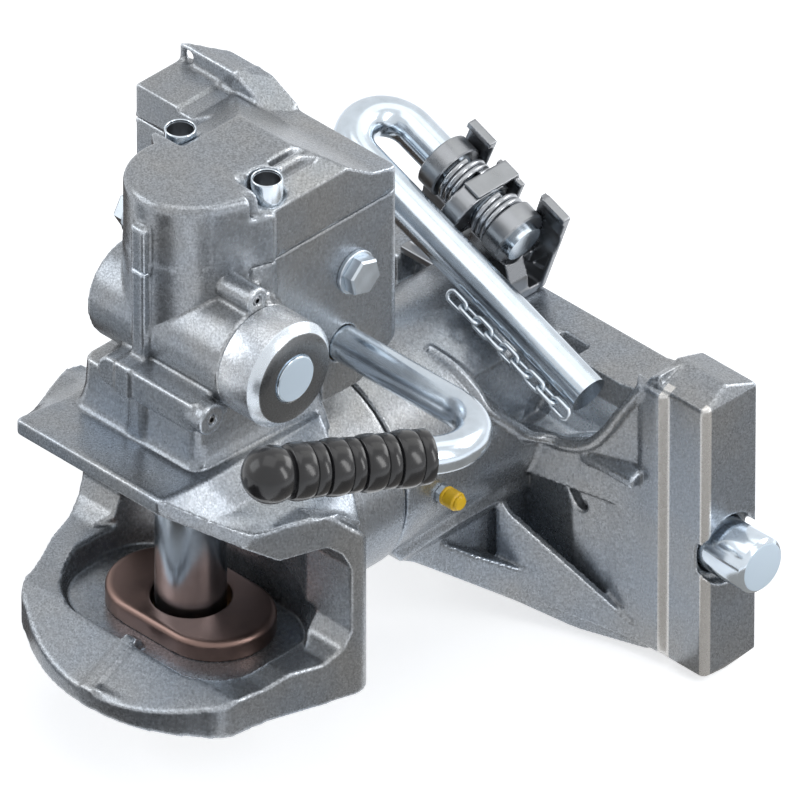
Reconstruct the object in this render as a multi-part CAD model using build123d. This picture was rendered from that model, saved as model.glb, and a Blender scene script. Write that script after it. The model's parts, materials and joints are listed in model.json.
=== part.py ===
from build123d import *
import os
from math import atan, cos, degrees, radians, sin

# Trailer jaw coupling with a swivelling head on a slide carrier, in millimetres.
# X points to the right, Y rearwards to the tractor, Z up. The origin is the coupling
# point, where the coupling pin's axis crosses the head's swivel axis.

# Fits
RUNNING = 0.05
SEAT = 0.03
GAP = 0.3

# Coupling pin and its lift
PIN_R = 19.0
PIN_FOOT_Z = -62.0
PIN_TOP_Z = 123.0
PIN_LIFT = 98.0

# Jaw: a mouth that is symmetrical about the swivel axis, between two lips
MOUTH_HALF_H = 36.5
LIP_FRONT_Y = -77.6
RIM_X = 101.0
RIM_Y = 24.0
RIM_TOP_Z = 59.0
JAW_BOTTOM_Z = -62.0
JAW_BACK_Y = 52.0
BOWL_HALF_X = 86.0
BOWL_HALF_Y = 57.0
BOWL_Y = -18.0
FLOOR_Z = -49.0

# Wear plate
WEAR_T = 12.0
WEAR_W = 64.0
WEAR_L = 100.6
WEAR_HOLE_R = 21.5

# Neck of the jaw casting, and the split line to the mechanism housing
NECK_FRONT_Y = -37.0
NECK_HALF_X = 42.5
SPLIT_Z = 112.0
SPLIT_Y = 54.0

# Tower of the mechanism housing
TOWER_FRONT_R = 34.3
TOWER_TOP_Z = 231.0
TOWER_BACK_Y = 111.0
COVER_Z = 187.0
WING_TOP_Z = 208.0
RIDGE_Y = 92.0
RIDGE_TOP_Z = 218.5
CHAMBER_HALF_X = 27.0
CHAMBER_TOP_Z = 182.0
BORE_TOP_Z = 224.0
WING_X = -100.0

# Cross cylinder in front of the tower
CROSS_Y = -5.5
CROSS_Z = 144.0
PIN_BOSS_Z = 179.4
CROSS_R = 30.0
CROSS_LEFT_X = -40.0
CROSS_SEAM_X = 56.0
CROSS_RIGHT_X = 82.5
AXLE_R = 13.0

# Hand lever
LEVER_Y = 70.0
LEVER_Z = 109.0
LEVER_R = 10.0
LEVER_CORNER_X = 172.6
LEVER_BEND_R = 35.0
GRIP_DIR = Vector(-0.335, -0.927, 0.17)
GRIP_START = 54.0
GRIP_PITCH = 20.5
GRIP_RIDGES = 4
GRIP_R = 15.5
GRIP_GROOVE_R = 12.6

# Lift fork on the lever, which carries the pin by a cross pin
CROSS_PIN_Y = 8.0
CROSS_PIN_R = 4.0
FORK_REACH = LEVER_Y - CROSS_PIN_Y
FORK_HALF_ANGLE = degrees(atan(PIN_LIFT / 2 / FORK_REACH))
FORK_TIP = 82.0
FORK_HALF_H = 13.0
FORK_SLOT_HALF = 7.7

# Swivel bearing
SHANK_R = 30.0
SLEEVE_R = 61.0
SEAM_Y = 98.0
BUSH_R = 36.0
NUT_R = 31.0
THREAD_R = 21.0

# Carrier and its slide plate
CARRIER_HALF_X = 165.0
TONGUE_X = 125.0
PLATE_FRONT_Y = 214.0
PLATE_REAR_Y = 252.0
PLATE_MID_Y = (PLATE_FRONT_Y + PLATE_REAR_Y) / 2
PLATE_LOW_Z = -122.0
PLATE_HIGH_Z = 60.0
MID_TOP_Z = 38.0
BOSS_FRONT_Y = 100.0
BOSS_REAR_Y = 218.0

# Locking pins, and the plate that draws them in
LOCK_R = 16.0
LOCK_Z = -42.6
LOCK_REACH = 24.0
LOCK_TRAVEL = 26.0
LOCK_INNER_X = 115.0
LOCK_STUD_X = 66.0
LOCK_ROD_R = 6.0
LOCK_STUD_R = 4.0
RELEASE_LIFT = 13.0
RELEASE_Y = 248.3
RELEASE_T = 3.4
CAM_REST = 12.5

# Release handle: a bent tube that turns about its pivot leg
HANDLE_R = 11.0
HANDLE_AXIS = Vector(0.927, 0.0, -0.375)
HANDLE_END = Vector(13.0, 233.0, 76.0)
HANDLE_ELBOW_S = -106.6
GRIP_LEG_Y = 194.6
GRIP_LEG_S = 92.0
HANDLE_BEND_R = 19.0
COLLAR_R = 16.5
COLLAR_W = 12.0
COLLAR_S = (-10.0, -60.6)
HOOK_REACH = (19, 11)
CAM_S = -35.3


def yz_prism(points, x_low, x_high):
    """Outline of (y, z) points, extruded along X."""
    outline = Polyline(*[(x_low, y, z) for y, z in points], close=True)
    return extrude(make_face(outline), amount=x_high - x_low, dir=(1, 0, 0))


def xz_prism(points, y_low, y_high):
    """Outline of (x, z) points, extruded along Y."""
    outline = Polyline(*[(x, y_low, z) for x, z in points], close=True)
    return extrude(make_face(outline), amount=y_high - y_low, dir=(0, 1, 0))


def xy_prism(points, z_low, z_high):
    """Outline of (x, y) points, extruded along Z."""
    outline = Polyline(*[(x, y, z_low) for x, y in points], close=True)
    return extrude(make_face(outline), amount=z_high - z_low, dir=(0, 0, 1))


def block(x_span, y_span, z_span):
    """Box between two values on each axis."""
    size = (x_span[1] - x_span[0], y_span[1] - y_span[0], z_span[1] - z_span[0])
    centre = (sum(x_span) / 2, sum(y_span) / 2, sum(z_span) / 2)
    return Pos(*centre) * Box(*size)


def bar(start, end, radius):
    """Round bar between two points."""
    along = Vector(*end) - Vector(*start)
    return Part(Solid.make_cylinder(radius, along.length, Plane(origin=start, z_dir=along)).wrapped)


def tube(start, end, outer, inner):
    """Round sleeve between two points."""
    return bar(start, end, outer) - bar(start, end, inner)


def hexagon_bar(start, end, across_corners):
    """Hexagonal bar between two points."""
    along = Vector(*end) - Vector(*start)
    section = Plane(origin=start, z_dir=along) * RegularPolygon(across_corners / 2, 6)
    return extrude(section, amount=along.length)


def chamfered_bar(start, end, radius, bevel):
    """Round bar with both rims bevelled."""
    along = Vector(*end) - Vector(*start)
    section = Polyline(
        (0, 0),
        (radius - bevel, 0),
        (radius, bevel),
        (radius, along.length - bevel),
        (radius - bevel, along.length),
        (0, along.length),
        close=True,
    )
    turned = revolve(Plane.XZ * make_face(section), Axis.Z)
    return Plane(origin=start, z_dir=along) * turned


def both_sides(shape):
    """The shape and its mirror image across the middle plane."""
    return [shape, mirror(shape, Plane.YZ)]


def on_lever(x):
    """Point on the hand lever's axis."""
    return (x, LEVER_Y, LEVER_Z)


def on_handle(s):
    """Point on the release handle's pivot axis, s from its free end."""
    return HANDLE_END + HANDLE_AXIS.normalized() * s


def handle_plane(s):
    """Plane square to the release handle's pivot axis, its x direction rearwards."""
    return Plane(origin=on_handle(s), x_dir=(0, 1, 0), z_dir=HANDLE_AXIS)


# Coupling pin

def coupling_pin():
    """Polished pin that drops through the drawbar eye, with a bevelled foot."""
    foot_bevel = 4.0
    top_bevel = 2.0
    pin = bar((0, 0, PIN_FOOT_Z), (0, 0, PIN_TOP_Z), PIN_R)
    pin = chamfer(pin.edges().group_by(Axis.Z)[0], foot_bevel)
    pin = chamfer(pin.edges().group_by(Axis.Z)[-1], top_bevel)
    return pin - cross_pin_bar(CROSS_PIN_R + SEAT)


def cross_pin_bar(radius):
    """Bar through the pin, where the lift fork takes hold."""
    half_length = 25.5
    height = LEVER_Z - PIN_LIFT / 2
    return bar((-half_length, CROSS_PIN_Y, height), (half_length, CROSS_PIN_Y, height), radius)


def lift_cross_pin():
    return cross_pin_bar(CROSS_PIN_R)


# Hand lever and lift fork

def hand_lever():
    """Bent bar: its straight end is the lever shaft, its other end holds the grip."""
    shaft_end_x = -57.0
    bar_in_grip = 128.0
    corner = Vector(*on_lever(LEVER_CORNER_X))
    tip = corner + GRIP_DIR.normalized() * bar_in_grip
    path = FilletPolyline(on_lever(shaft_end_x), corner, tip, radius=LEVER_BEND_R)
    section = Plane(origin=path @ 0, z_dir=path % 0) * Circle(LEVER_R)
    return sweep(section, path=path) - fork_key_bar(SEAT)


def lever_grip():
    """Ribbed rubber grip with a ball end, moulded over the bar."""
    ball_at = GRIP_START + GRIP_RIDGES * GRIP_PITCH + 9.0
    bore_end = 128.6
    core_r = LEVER_R + 1.0
    edges = [Line((core_r, GRIP_START), (GRIP_GROOVE_R, GRIP_START))]
    for ridge in range(GRIP_RIDGES):
        low = GRIP_START + ridge * GRIP_PITCH
        high = low + GRIP_PITCH
        edges.append(ThreePointArc((GRIP_GROOVE_R, low), (GRIP_R, (low + high) / 2), (GRIP_GROOVE_R, high)))
    edges.append(Line((GRIP_GROOVE_R, high), (core_r, high)))
    edges.append(Line((core_r, high), (core_r, GRIP_START)))
    grip = revolve(Plane.XZ * make_face(edges), Axis.Z)
    grip += bar((0, 0, GRIP_START), (0, 0, ball_at), GRIP_GROOVE_R - 0.4)
    grip += Pos(0, 0, ball_at) * Sphere(GRIP_R)
    grip -= bar((0, 0, GRIP_START - 1), (0, 0, bore_end), LEVER_R + RUNNING)
    return Plane(origin=on_lever(LEVER_CORNER_X), z_dir=GRIP_DIR) * grip


def lift_fork():
    """Hub on the lever shaft with two slotted prongs that straddle the pin."""
    hub_r = 20.0
    inner_x = 20.0
    outer_x = 25.0
    slot_start = FORK_REACH - CROSS_PIN_R - 1.0
    hub = bar((-outer_x, 0, 0), (outer_x, 0, 0), hub_r)
    prong = block((inner_x, outer_x), (-FORK_TIP, 0), (-FORK_HALF_H, FORK_HALF_H))
    slot = block((inner_x, outer_x), (-FORK_TIP, -slot_start), (-FORK_SLOT_HALF, FORK_SLOT_HALF))
    fork = hub + both_sides(prong - slot)
    fork -= bar((-outer_x, 0, 0), (outer_x, 0, 0), LEVER_R + RUNNING)
    placed = Pos(0, LEVER_Y, LEVER_Z) * Rot(FORK_HALF_ANGLE, 0, 0) * fork
    return placed - fork_key_bar(SEAT)


def fork_key_bar(clearance):
    """Cross bar that locks the fork's hub to the lever shaft."""
    key_r = 4.0
    half_length = 18.0
    middle = Vector(*on_lever(0))
    along = Vector(0, 1, 0)
    return bar(middle - along * half_length, middle + along * half_length, key_r + clearance)


def fork_key():
    return fork_key_bar(0)


def lever_bushes():
    """Plain bearings of the lever shaft in the housing's two walls."""
    right = tube(on_lever(28.0), on_lever(39.5), 13.0, LEVER_R + RUNNING)
    left = tube(on_lever(-57.8), on_lever(-44.0), 13.0, LEVER_R + RUNNING)
    return [right, left]


def coil_pack(plane, inner, wire_r, turns):
    """Closely wound coils, as a sleeve with one ridge for each turn."""
    points = [(inner, 0)]
    for turn in range(turns):
        low = turn * 2 * wire_r
        points.append((inner + wire_r, low))
        points.append((inner + 2 * wire_r, low + wire_r))
    top = turns * 2 * wire_r
    points.append((inner + wire_r, top))
    points.append((inner, top))
    return plane * revolve(Plane.XZ * make_face(Polyline(*points, close=True)), Axis.Z)


def closing_spring():
    """Torsion spring that turns the lever back down."""
    return coil_pack(Plane(origin=on_lever(-42.0), z_dir=(1, 0, 0)), LEVER_R + 0.6, 2.3, 3)


# Jaw casting

def jaw_outline(z_low, z_high):
    """Plan of the jaw: a rounded front lip that widens to the side rims."""
    corner_x = 66.0
    corner_y = -56.5
    side = (80.0, -38.5)
    rim = (RIM_X, RIM_Y - 2.0)
    back = (60.0, JAW_BACK_Y)

    def mirrored(point):
        return (-point[0], point[1])

    turn = (75.6, -49.5)
    rim_turn = (99.0, RIM_Y + 6.0)
    shoulder = (92.0, RIM_Y + 11.0)
    edges = [
        ThreePointArc((-corner_x, corner_y), (0, LIP_FRONT_Y), (corner_x, corner_y)),
        ThreePointArc((corner_x, corner_y), turn, side),
        Line(side, rim),
        ThreePointArc(rim, rim_turn, shoulder),
        Line(shoulder, back),
        Line(back, mirrored(back)),
        Line(mirrored(back), mirrored(shoulder)),
        ThreePointArc(mirrored(shoulder), mirrored(rim_turn), mirrored(rim)),
        Line(mirrored(rim), mirrored(side)),
        ThreePointArc(mirrored(side), mirrored(turn), (-corner_x, corner_y)),
    ]
    face = Pos(0, 0, z_low) * make_face(edges)
    return extrude(face, amount=z_high - z_low, dir=(0, 0, 1))


def jaw_side_profile():
    """Side view of the jaw without its raised upper lip."""
    points = [
        (-90, -73),
        (-26, JAW_BOTTOM_Z - 1.5),
        (60, JAW_BOTTOM_Z + 1),
        (60, 20),
        (36, 30),
        (18.7, 46),
        (9, 55),
        (-2, RIM_TOP_Z),
        (-19, RIM_TOP_Z),
        (-36.5, 54.4),
        (-44, 50),
        (-90, 50),
    ]
    return yz_prism(points, -RIM_X - 5, RIM_X + 5)


def upper_lip():
    """Raised funnel lip: level across the middle, falling in a hollow to the rims at both sides."""
    middle = [(-75, 86), (-75, 76.5), (-20, 37), (45, 37), (45, 80), (-41, 82)]
    hollow = [(-56, 71.5), (-56, 61.5), (-20, 37), (42, 37), (42, 64), (-32, 66)]
    flank = [(-37, 58), (-37, 47), (-20, 37), (38, 37), (38, 58), (-20, 60)]
    end = [(2, 58), (2, 50), (4, 40), (30, 40), (30, 42), (14, 55)]
    half = 52.0
    core = yz_prism(middle, -half, half)
    sections = []
    for x, points in ((half, middle), (66.0, hollow), (80.0, flank), (95.0, end)):
        outline = Polyline(*[(x, y, z) for y, z in points], close=True)
        sections.append(make_face(outline))
    side = loft(sections, ruled=True)
    return core + both_sides(side)


def mouth():
    """Space that the drawbar eye enters, open in front and at both sides."""
    h = MOUTH_HALF_H
    points = [
        (-100, 94.5),
        (-75, 76.5),
        (-20, h),
        (6, h),
        (14, 30),
        (18.8, 20),
        (18.8, -20),
        (14, -30),
        (4, -h),
        (-14, -h),
        (-29, -42),
        (-44, -43.5),
        (-78, -60.5),
        (-100, -71.5),
    ]
    through = yz_prism(points, -RIM_X - 5, RIM_X + 5)
    bowl_face = Pos(0, BOWL_Y, -h) * Ellipse(BOWL_HALF_X, BOWL_HALF_Y)
    bowl = extrude(bowl_face, amount=2 * h, dir=(0, 0, 1))
    bowl = fillet(bowl.edges().group_by(Axis.Z)[-1], 10)
    floor_face = Pos(0, -4, FLOOR_Z) * RectangleRounded(136, 82, 34)
    floor = extrude(floor_face, amount=30, taper=-16)
    return through + bowl + floor


def neck():
    """Pillar between the upper lip and the mechanism housing, flared at its foot."""
    sections = []
    for z, flare in ((68, 11.0), (76, 7.5), (81, 4.6), (87, 2.2), (95, 0.8), (SPLIT_Z, 0.0)):
        front = NECK_FRONT_Y - flare
        middle_y = (front + SPLIT_Y) / 2
        outline = RectangleRounded(2 * (NECK_HALF_X + flare), SPLIT_Y - front, 7)
        sections.append(Pos(0, middle_y, z) * outline)
    pillar = loft(sections, ruled=True)
    root = block((-NECK_HALF_X - 7, NECK_HALF_X + 7), (-38, 53), (45, 70))
    return pillar + root


def lip_rib():
    """Mould rib down the middle of the lower lip, with a small facet at its right."""
    profile = [(-77.5, -66), (-77.5, -58.6), (-44, -42), (-38, -46), (-60, -66)]
    rib = yz_prism(profile, -4, 4)
    facet = xy_prism([(3, -76.5), (26, -71), (3, -58)], -70, -57.2)
    return rib + facet


def pin_chamber():
    """Hollow for the lift fork, shared by the jaw casting and the housing."""
    points = [
        (-14.5, 45),
        (24, 45),
        (60, 82),
        (74, 84),
        (94, 96),
        (97, 109),
        (94, 124),
        (76, 146),
        (32, CHAMBER_TOP_Z),
        (-14.5, CHAMBER_TOP_Z),
    ]
    return yz_prism(points, -CHAMBER_HALF_X, CHAMBER_HALF_X)


def centre_rib(y_low, y_high, z_low, z_high):
    """Cast rib on the middle plane."""
    return block((-5.0, 5.0), (y_low, y_high), (z_low, z_high))


def jaw_casting():
    """Jaw, neck and swivel shank, cast in one."""
    body = jaw_outline(-75, RIM_TOP_Z) & jaw_side_profile()
    body += upper_lip()
    body += bar((0, 0, -66), (0, 0, -50), 38)
    body -= mouth()
    body += lip_rib()
    body += neck()
    body += bar((0, 38, 0), (0, SEAM_Y, 0), SLEEVE_R)
    body += bar((0, SEAM_Y, 0), (0, 208, 0), SHANK_R)
    body += bar((0, 208, 0), (0, 241, 0), THREAD_R)
    body += centre_rib(-41, -34, 80, SPLIT_Z)
    body -= pin_chamber()
    body -= bar((0, 0, 44.9), (0, 0, SPLIT_Z + 1), PIN_R + 2 * RUNNING)
    body -= bar((0, 0, 30), (0, 0, 44.9), 23.5)
    body -= bar((0, 0, -70), (0, 0, -40), 24.0)
    for screw in wear_screw_bars(4.3, 7.5):
        body -= screw
    return body


def pin_bush_upper():
    return tube((0, 0, 36.6), (0, 0, 44.9), 23.5, PIN_R + RUNNING)


def pin_bush_lower():
    return tube((0, 0, -65.9), (0, 0, FLOOR_Z - 0.1), 24.0, PIN_R + RUNNING)


def wear_plate():
    """Bevelled replaceable plate that the drawbar eye stands on."""
    face = Pos(0, 0, FLOOR_Z) * SlotOverall(WEAR_L, WEAR_W)
    plate = extrude(face, amount=WEAR_T)
    plate = fillet(plate.edges().group_by(Axis.Z)[-1], 3.5)
    plate -= bar((0, 0, FLOOR_Z - 1), (0, 0, FLOOR_Z + WEAR_T + 1), WEAR_HOLE_R)
    for screw in wear_screw_bars(4.05, 7.5):
        plate -= screw
    return plate


def wear_screw_bars(shank_r, head_r):
    """Screws from below that hold the wear plate."""
    screw_x = 36.0
    shank = bar((screw_x, 0, -64), (screw_x, 0, FLOOR_Z + 7), shank_r)
    head = bar((screw_x, 0, -70), (screw_x, 0, -58), head_r)
    return both_sides(shank + head)


def wear_plate_screws():
    """Two socket screws, their heads sunk in the jaw's underside."""
    screw_x = 36.0
    shank = bar((screw_x, 0, -60), (screw_x, 0, FLOOR_Z + 6.5), 4.0)
    head = bar((screw_x, 0, -64.5), (screw_x, 0, -58.1), 6.5)
    socket = hexagon_bar((screw_x, 0, -64.5), (screw_x, 0, -61), 7)
    return both_sides(shank + head - socket)


# Mechanism housing

def tower_outline(z_low, z_high):
    """Plan of the tower: round in front of the pin, flat walls behind."""
    side_x = TOWER_FRONT_R * cos(radians(12))
    side_y = TOWER_FRONT_R * sin(radians(12))
    half = NECK_HALF_X
    back = TOWER_BACK_Y
    edges = [
        ThreePointArc((-side_x, side_y), (0, -TOWER_FRONT_R), (side_x, side_y)),
        Line((side_x, side_y), (half, 14)),
        Line((half, 14), (half, back - 5)),
        ThreePointArc((half, back - 5), (half - 1.5, back - 1.5), (half - 5, back)),
        Line((half - 5, back), (-half, back)),
        Line((-half, back), (-half, 14)),
        Line((-half, 14), (-side_x, side_y)),
    ]
    face = Pos(0, 0, z_low) * make_face(edges)
    return extrude(face, amount=z_high - z_low, dir=(0, 0, 1))


def tower_blank():
    """Tower, wing and cross cylinder before they are hollowed."""
    tower = tower_outline(78, TOWER_TOP_Z)
    front_rim = tower.edges().group_by(Axis.Z)[-1].filter_by(lambda edge: edge.center().Y < 12)
    tower = fillet(front_rim, 5)
    tower -= yz_prism([(30, 60), (TOWER_BACK_Y + 5, 60), (TOWER_BACK_Y + 5, 98), (82, 78), (30, 78)], -60, 60)
    tower -= block((-60, 60), (-60, SPLIT_Y), (60, SPLIT_Z))
    tower += wing()
    tower += xz_prism([(-30, 190), (-30, 230), (-42, 230), (-59.5, 220), (-59.5, 190)], 60, 110)
    tower -= top_slopes()
    tower += wing_ridge()
    tower += slotted_boss()
    tower += bar((CROSS_LEFT_X, CROSS_Y, CROSS_Z), (CROSS_SEAM_X, CROSS_Y, CROSS_Z), CROSS_R)
    tower += bar((30, CROSS_Y, PIN_BOSS_Z), (56, CROSS_Y, PIN_BOSS_Z), 7.5)
    tower += block((30, 52), (CROSS_Y - 6, CROSS_Y + 14), (165, 177))
    tower += cross_bar()
    tower += centre_rib(-38.5, -30, SPLIT_Z, 214)
    return tower


def wing():
    """Left wing, which holds the lever's left bearing and the side plug."""
    profile = [
        (SPLIT_Y + GAP, 92),
        (SPLIT_Y + GAP, 150),
        (60, 158),
        (60, WING_TOP_Z),
        (TOWER_BACK_Y, WING_TOP_Z),
        (TOWER_BACK_Y, 98),
        (84, 92),
    ]
    return yz_prism(profile, WING_X, -30) - wing_corner()


def wing_corner():
    """Slanted cut at the wing's rear left corner."""
    return xy_prism([(WING_X - 1, RIDGE_Y), (WING_X - 1, 125), (-66, 125)], 80, 240)


def wing_ridge():
    """Raised wall along the wing's rear: it ends in an open loop and runs down to the tower."""
    profile = [
        (WING_X, 190),
        (WING_X, RIDGE_TOP_Z - 1),
        (-96, RIDGE_TOP_Z),
        (-60, RIDGE_TOP_Z),
        (-31, 203.8),
        (-31, 190),
    ]
    ridge = xz_prism(profile, RIDGE_Y, TOWER_BACK_Y)
    ridge -= yz_prism([(91, 219.2), (112, 213), (112, 240), (91, 240)], WING_X - 1, -30)
    ridge -= wing_corner()
    return ridge - block((-97, -91), (RIDGE_Y - 1, 101), (WING_TOP_Z + 0.5, 215.5))


def slotted_boss():
    """Raised slot beside the top, behind the right cover screw."""
    boss = extrude(Pos(24.5, 42.5, 205) * Rot(0, 0, 90) * SlotOverall(46, 13), amount=TOWER_TOP_Z - 205)
    boss -= yz_prism([(50, 231.2), (70, 221), (70, 250), (50, 250)], 0, 60)
    slot = extrude(Pos(24.5, 47.5, 222) * Rot(0, 0, 90) * SlotOverall(27, 5), amount=12)
    return boss - slot


def top_slopes():
    """Material cut away beside and behind the raised top."""
    right = xz_prism([(19, 231.1), (23, 226), (43, 217.5), (60, 217.5), (60, 240), (19, 240)], 12, 130)
    left = xz_prism([(-17.5, 231.1), (-59, 206), (-70, 206), (-70, 240), (-17.5, 240)], 14, 91)
    ramp_end = xz_prism([(-17.5, 231.1), (-59, 206), (-59, 240), (-17.5, 240)], 90, 130)
    rear_side = [(54, 231.1), (RIDGE_Y, 206), (112, 200.5), (130, 200.5), (130, 250), (54, 250)]
    rear = yz_prism(rear_side, -59.4, 60)
    return [right, left, ramp_end, rear]


def cross_bar():
    """Boss across the front, below the cross cylinder, its left end round, with the mould rib over it."""
    middle_z = 123.0
    half_h = 9.0
    length = block((-10, 50), (-49, -22), (middle_z - half_h, middle_z + half_h))
    left_end = bar((-10, -49, middle_z), (-10, -22, middle_z), half_h)
    rib = block((-5, 5), (-50.2, -22), (middle_z - half_h - 0.8, middle_z + half_h + 1.2))
    return length + left_end + rib + bar((45, -41, middle_z), (58, -41, middle_z), half_h)


def housing_hollows():
    """Pin bore, chamber, shaft bores and the closing spring's pocket."""
    return [
        bar((0, 0, 60), (0, 0, BORE_TOP_Z), PIN_R + RUNNING * 2),
        pin_chamber(),
        bar(on_lever(20), on_lever(39.8), 13.0 + SEAT),
        bar(on_lever(20), on_lever(60), LEVER_R + GAP),
        bar(on_lever(-58), on_lever(-20), 13.0 + SEAT),
        bar(on_lever(-43.5), on_lever(-20), 17.0),
        bar((30, CROSS_Y, CROSS_Z), (60, CROSS_Y, CROSS_Z), AXLE_R + SEAT),
    ]


def screw_holes():
    """Holes for the two cover screws."""
    holes = []
    for x in (-31.8, 31.8):
        holes.append(bar((x, 25, 150), (x, 25, 240), 4.0 + SEAT))
        holes.append(bar((x, 25, 217), (x, 25, 240), 10.0))
    return holes


def housing_with_details():
    body = tower_blank()
    for hollow in housing_hollows() + screw_holes():
        body -= hollow
    body -= hexagon_seat(NECK_HALF_X, 77.6, 151)
    body -= bar((-92, 66, 121), (WING_X - 1, 66, 121), 8.0 + SEAT)
    for pin in roll_pin_bars(SEAT):
        body -= pin
    return body


def hexagon_seat(x, y, z):
    """Bore for the threaded end of a hexagon plug."""
    return bar((x - 9, y, z), (x + 1, y, z), 8.0 + SEAT)


def mechanism_housing():
    """Lower part of the tower with the cross cylinder."""
    return housing_with_details() & block((-130, 130), (-80, 130), (60, COVER_Z))


def housing_cover():
    """Upper part of the tower, held by the two cover screws."""
    return housing_with_details() & block((-130, 130), (-80, 130), (COVER_Z, 260))


def cover_screws():
    """Socket screws whose collars stand up through the cover."""
    screws = []
    for x in (-31.8, 31.8):
        head = bar((x, 25, 217), (x, 25, 230.6), 8.5)
        head = fillet(head.edges().group_by(Axis.Z)[-1], 1.2)
        socket = bar((x, 25, 219), (x, 25, 231), 6.6)
        shank = bar((x, 25, 152), (x, 25, 218), 4.0)
        screws.append(head - socket + shank)
    return screws


def cross_end_cap():
    """Bevelled end cap of the cross cylinder, beyond its seam."""
    cap = chamfered_bar((CROSS_SEAM_X - 5, CROSS_Y, CROSS_Z), (CROSS_RIGHT_X, CROSS_Y, CROSS_Z), CROSS_R, 5.0)
    cap &= block((CROSS_SEAM_X, 90), (-60, 60), (90, 190))
    cap -= bar((50, CROSS_Y, CROSS_Z), (90, CROSS_Y, CROSS_Z), AXLE_R + SEAT)
    return cap


def cross_axle():
    """Polished axle stub in the cross cylinder."""
    return chamfered_bar((30.5, CROSS_Y, CROSS_Z), (84, CROSS_Y, CROSS_Z), AXLE_R, 1.0)


def roll_pin_bars(clearance):
    """Roll pins of the axle and of the two bosses."""
    r = 2.5 + clearance
    return [
        bar((44, CROSS_Y, PIN_BOSS_Z), (57, CROSS_Y, PIN_BOSS_Z), r),
        bar((46, -41, 123), (59, -41, 123), r),
        bar((50, CROSS_Y, CROSS_Z + AXLE_R), (50, CROSS_Y, CROSS_Z + CROSS_R), r),
    ]


def roll_pins():
    """Slotted spring pins, each a rolled tube."""
    bodies = [
        bar((44, CROSS_Y, PIN_BOSS_Z), (55.4, CROSS_Y, PIN_BOSS_Z), 2.5),
        bar((46, -41, 123), (57.5, -41, 123), 2.5),
        bar((50, CROSS_Y, CROSS_Z + AXLE_R + 0.5), (50, CROSS_Y, CROSS_Z + CROSS_R - 1), 2.5),
    ]
    cores = [
        bar((50, CROSS_Y, PIN_BOSS_Z), (56, CROSS_Y, PIN_BOSS_Z), 1.4),
        bar((52, -41, 123), (59, -41, 123), 1.4),
        bar((50, CROSS_Y, 165), (50, CROSS_Y, 175), 1.4),
    ]
    return [body - core for body, core in zip(bodies, cores)]


def hexagon_plug():
    """Hexagon plug on the right wall, on its collar ring."""
    x = NECK_HALF_X
    thread = bar((x - 8.5, 77.6, 151), (x, 77.6, 151), 8.0)
    ring = bar((x, 77.6, 151), (x + 2.5, 77.6, 151), 12.5)
    head = hexagon_bar((x + 2.5, 77.6, 151), (x + 9.5, 77.6, 151), 22)
    return thread + ring + head


def side_plug():
    """Round plug with a hexagon on the wing's left face."""
    thread = bar((WING_X + 7.5, 66, 121), (WING_X, 66, 121), 8.0)
    ring = bar((WING_X, 66, 121), (WING_X - 5, 66, 121), 13.0)
    head = hexagon_bar((WING_X - 5, 66, 121), (WING_X - 13, 66, 121), 22)
    return thread + ring + head


# Carrier

def tongue():
    """Right slide tongue: bevelled edges and a roofed top and bottom."""
    low = PLATE_LOW_Z
    high = PLATE_HIGH_Z
    front = PLATE_FRONT_Y
    rear = PLATE_REAR_Y
    mid = PLATE_MID_Y
    profile = [
        (front, low + 5),
        (front, high - 7),
        (mid, high),
        (rear, high - 6),
        (rear, low + 6),
        (mid, low),
    ]
    body = yz_prism(profile, TONGUE_X, CARRIER_HALF_X)
    bevel = 4.0
    edge = CARRIER_HALF_X
    corner = [(edge - bevel, front - 1), (edge + 1, front - 1), (edge + 1, front + bevel)]
    body -= xy_prism(corner, low - 1, high + 1)
    body -= xz_prism([(edge - 5, high + 1), (edge + 1, high + 1), (edge + 1, high - 9)], front - 1, rear + 1)
    body -= xz_prism([(edge - 5, low - 1), (edge + 1, low - 1), (edge + 1, low + 8)], front - 1, rear + 1)
    return body


def carrier_web():
    """Middle of the slide plate."""
    outline = [
        (-TONGUE_X - 15, -110),
        (-TONGUE_X - 15, 50),
        (-TONGUE_X, 44),
        (-100, MID_TOP_Z),
        (100, MID_TOP_Z),
        (TONGUE_X, 44),
        (TONGUE_X + 15, 50),
        (TONGUE_X + 15, -110),
        (100, -118),
        (-100, -118),
    ]
    return xz_prism(outline, PLATE_FRONT_Y + 3, PLATE_REAR_Y)


def side_wall():
    """Right wall of the tray: a rim that dips between the boss and the tongue."""
    rim = [(131, -32), (30, -32), (30, -3), (47, -3), (71, -4), (89, 4), (103.5, 21)]
    rim += [(TONGUE_X, 57), (131, 60)]
    plan = [(30, 190), (131, 214.5), (131, 236), (30, 236)]
    wall = xz_prism(rim, 186, 236) & xy_prism(plan, -40, 70)
    basin = [(36, 80), (40, 6), (52, -3), (72, -4), (90, 3), (106, 21), (118, 57), (120, 80)]
    wall -= xz_prism(basin, 199, 240)
    return wall + tray_blend()


def tray_blend():
    """Concave slope from the tray's floor up to the strip behind it."""
    profile = [(240, -12), (203, -12), (203, -6), (212, -2), (221, 7), (227, 20)]
    profile += [(230, MID_TOP_Z), (240, MID_TOP_Z)]
    return yz_prism(profile, 30, 122)


def boss_flats():
    """Slopes cut into the rear of the boss, down to the trays' floors."""
    slope = yz_prism([(163, 34), (163, 70), (230, 70), (230, -4), (195, -3)], 44, 64)
    return both_sides(slope)


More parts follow.
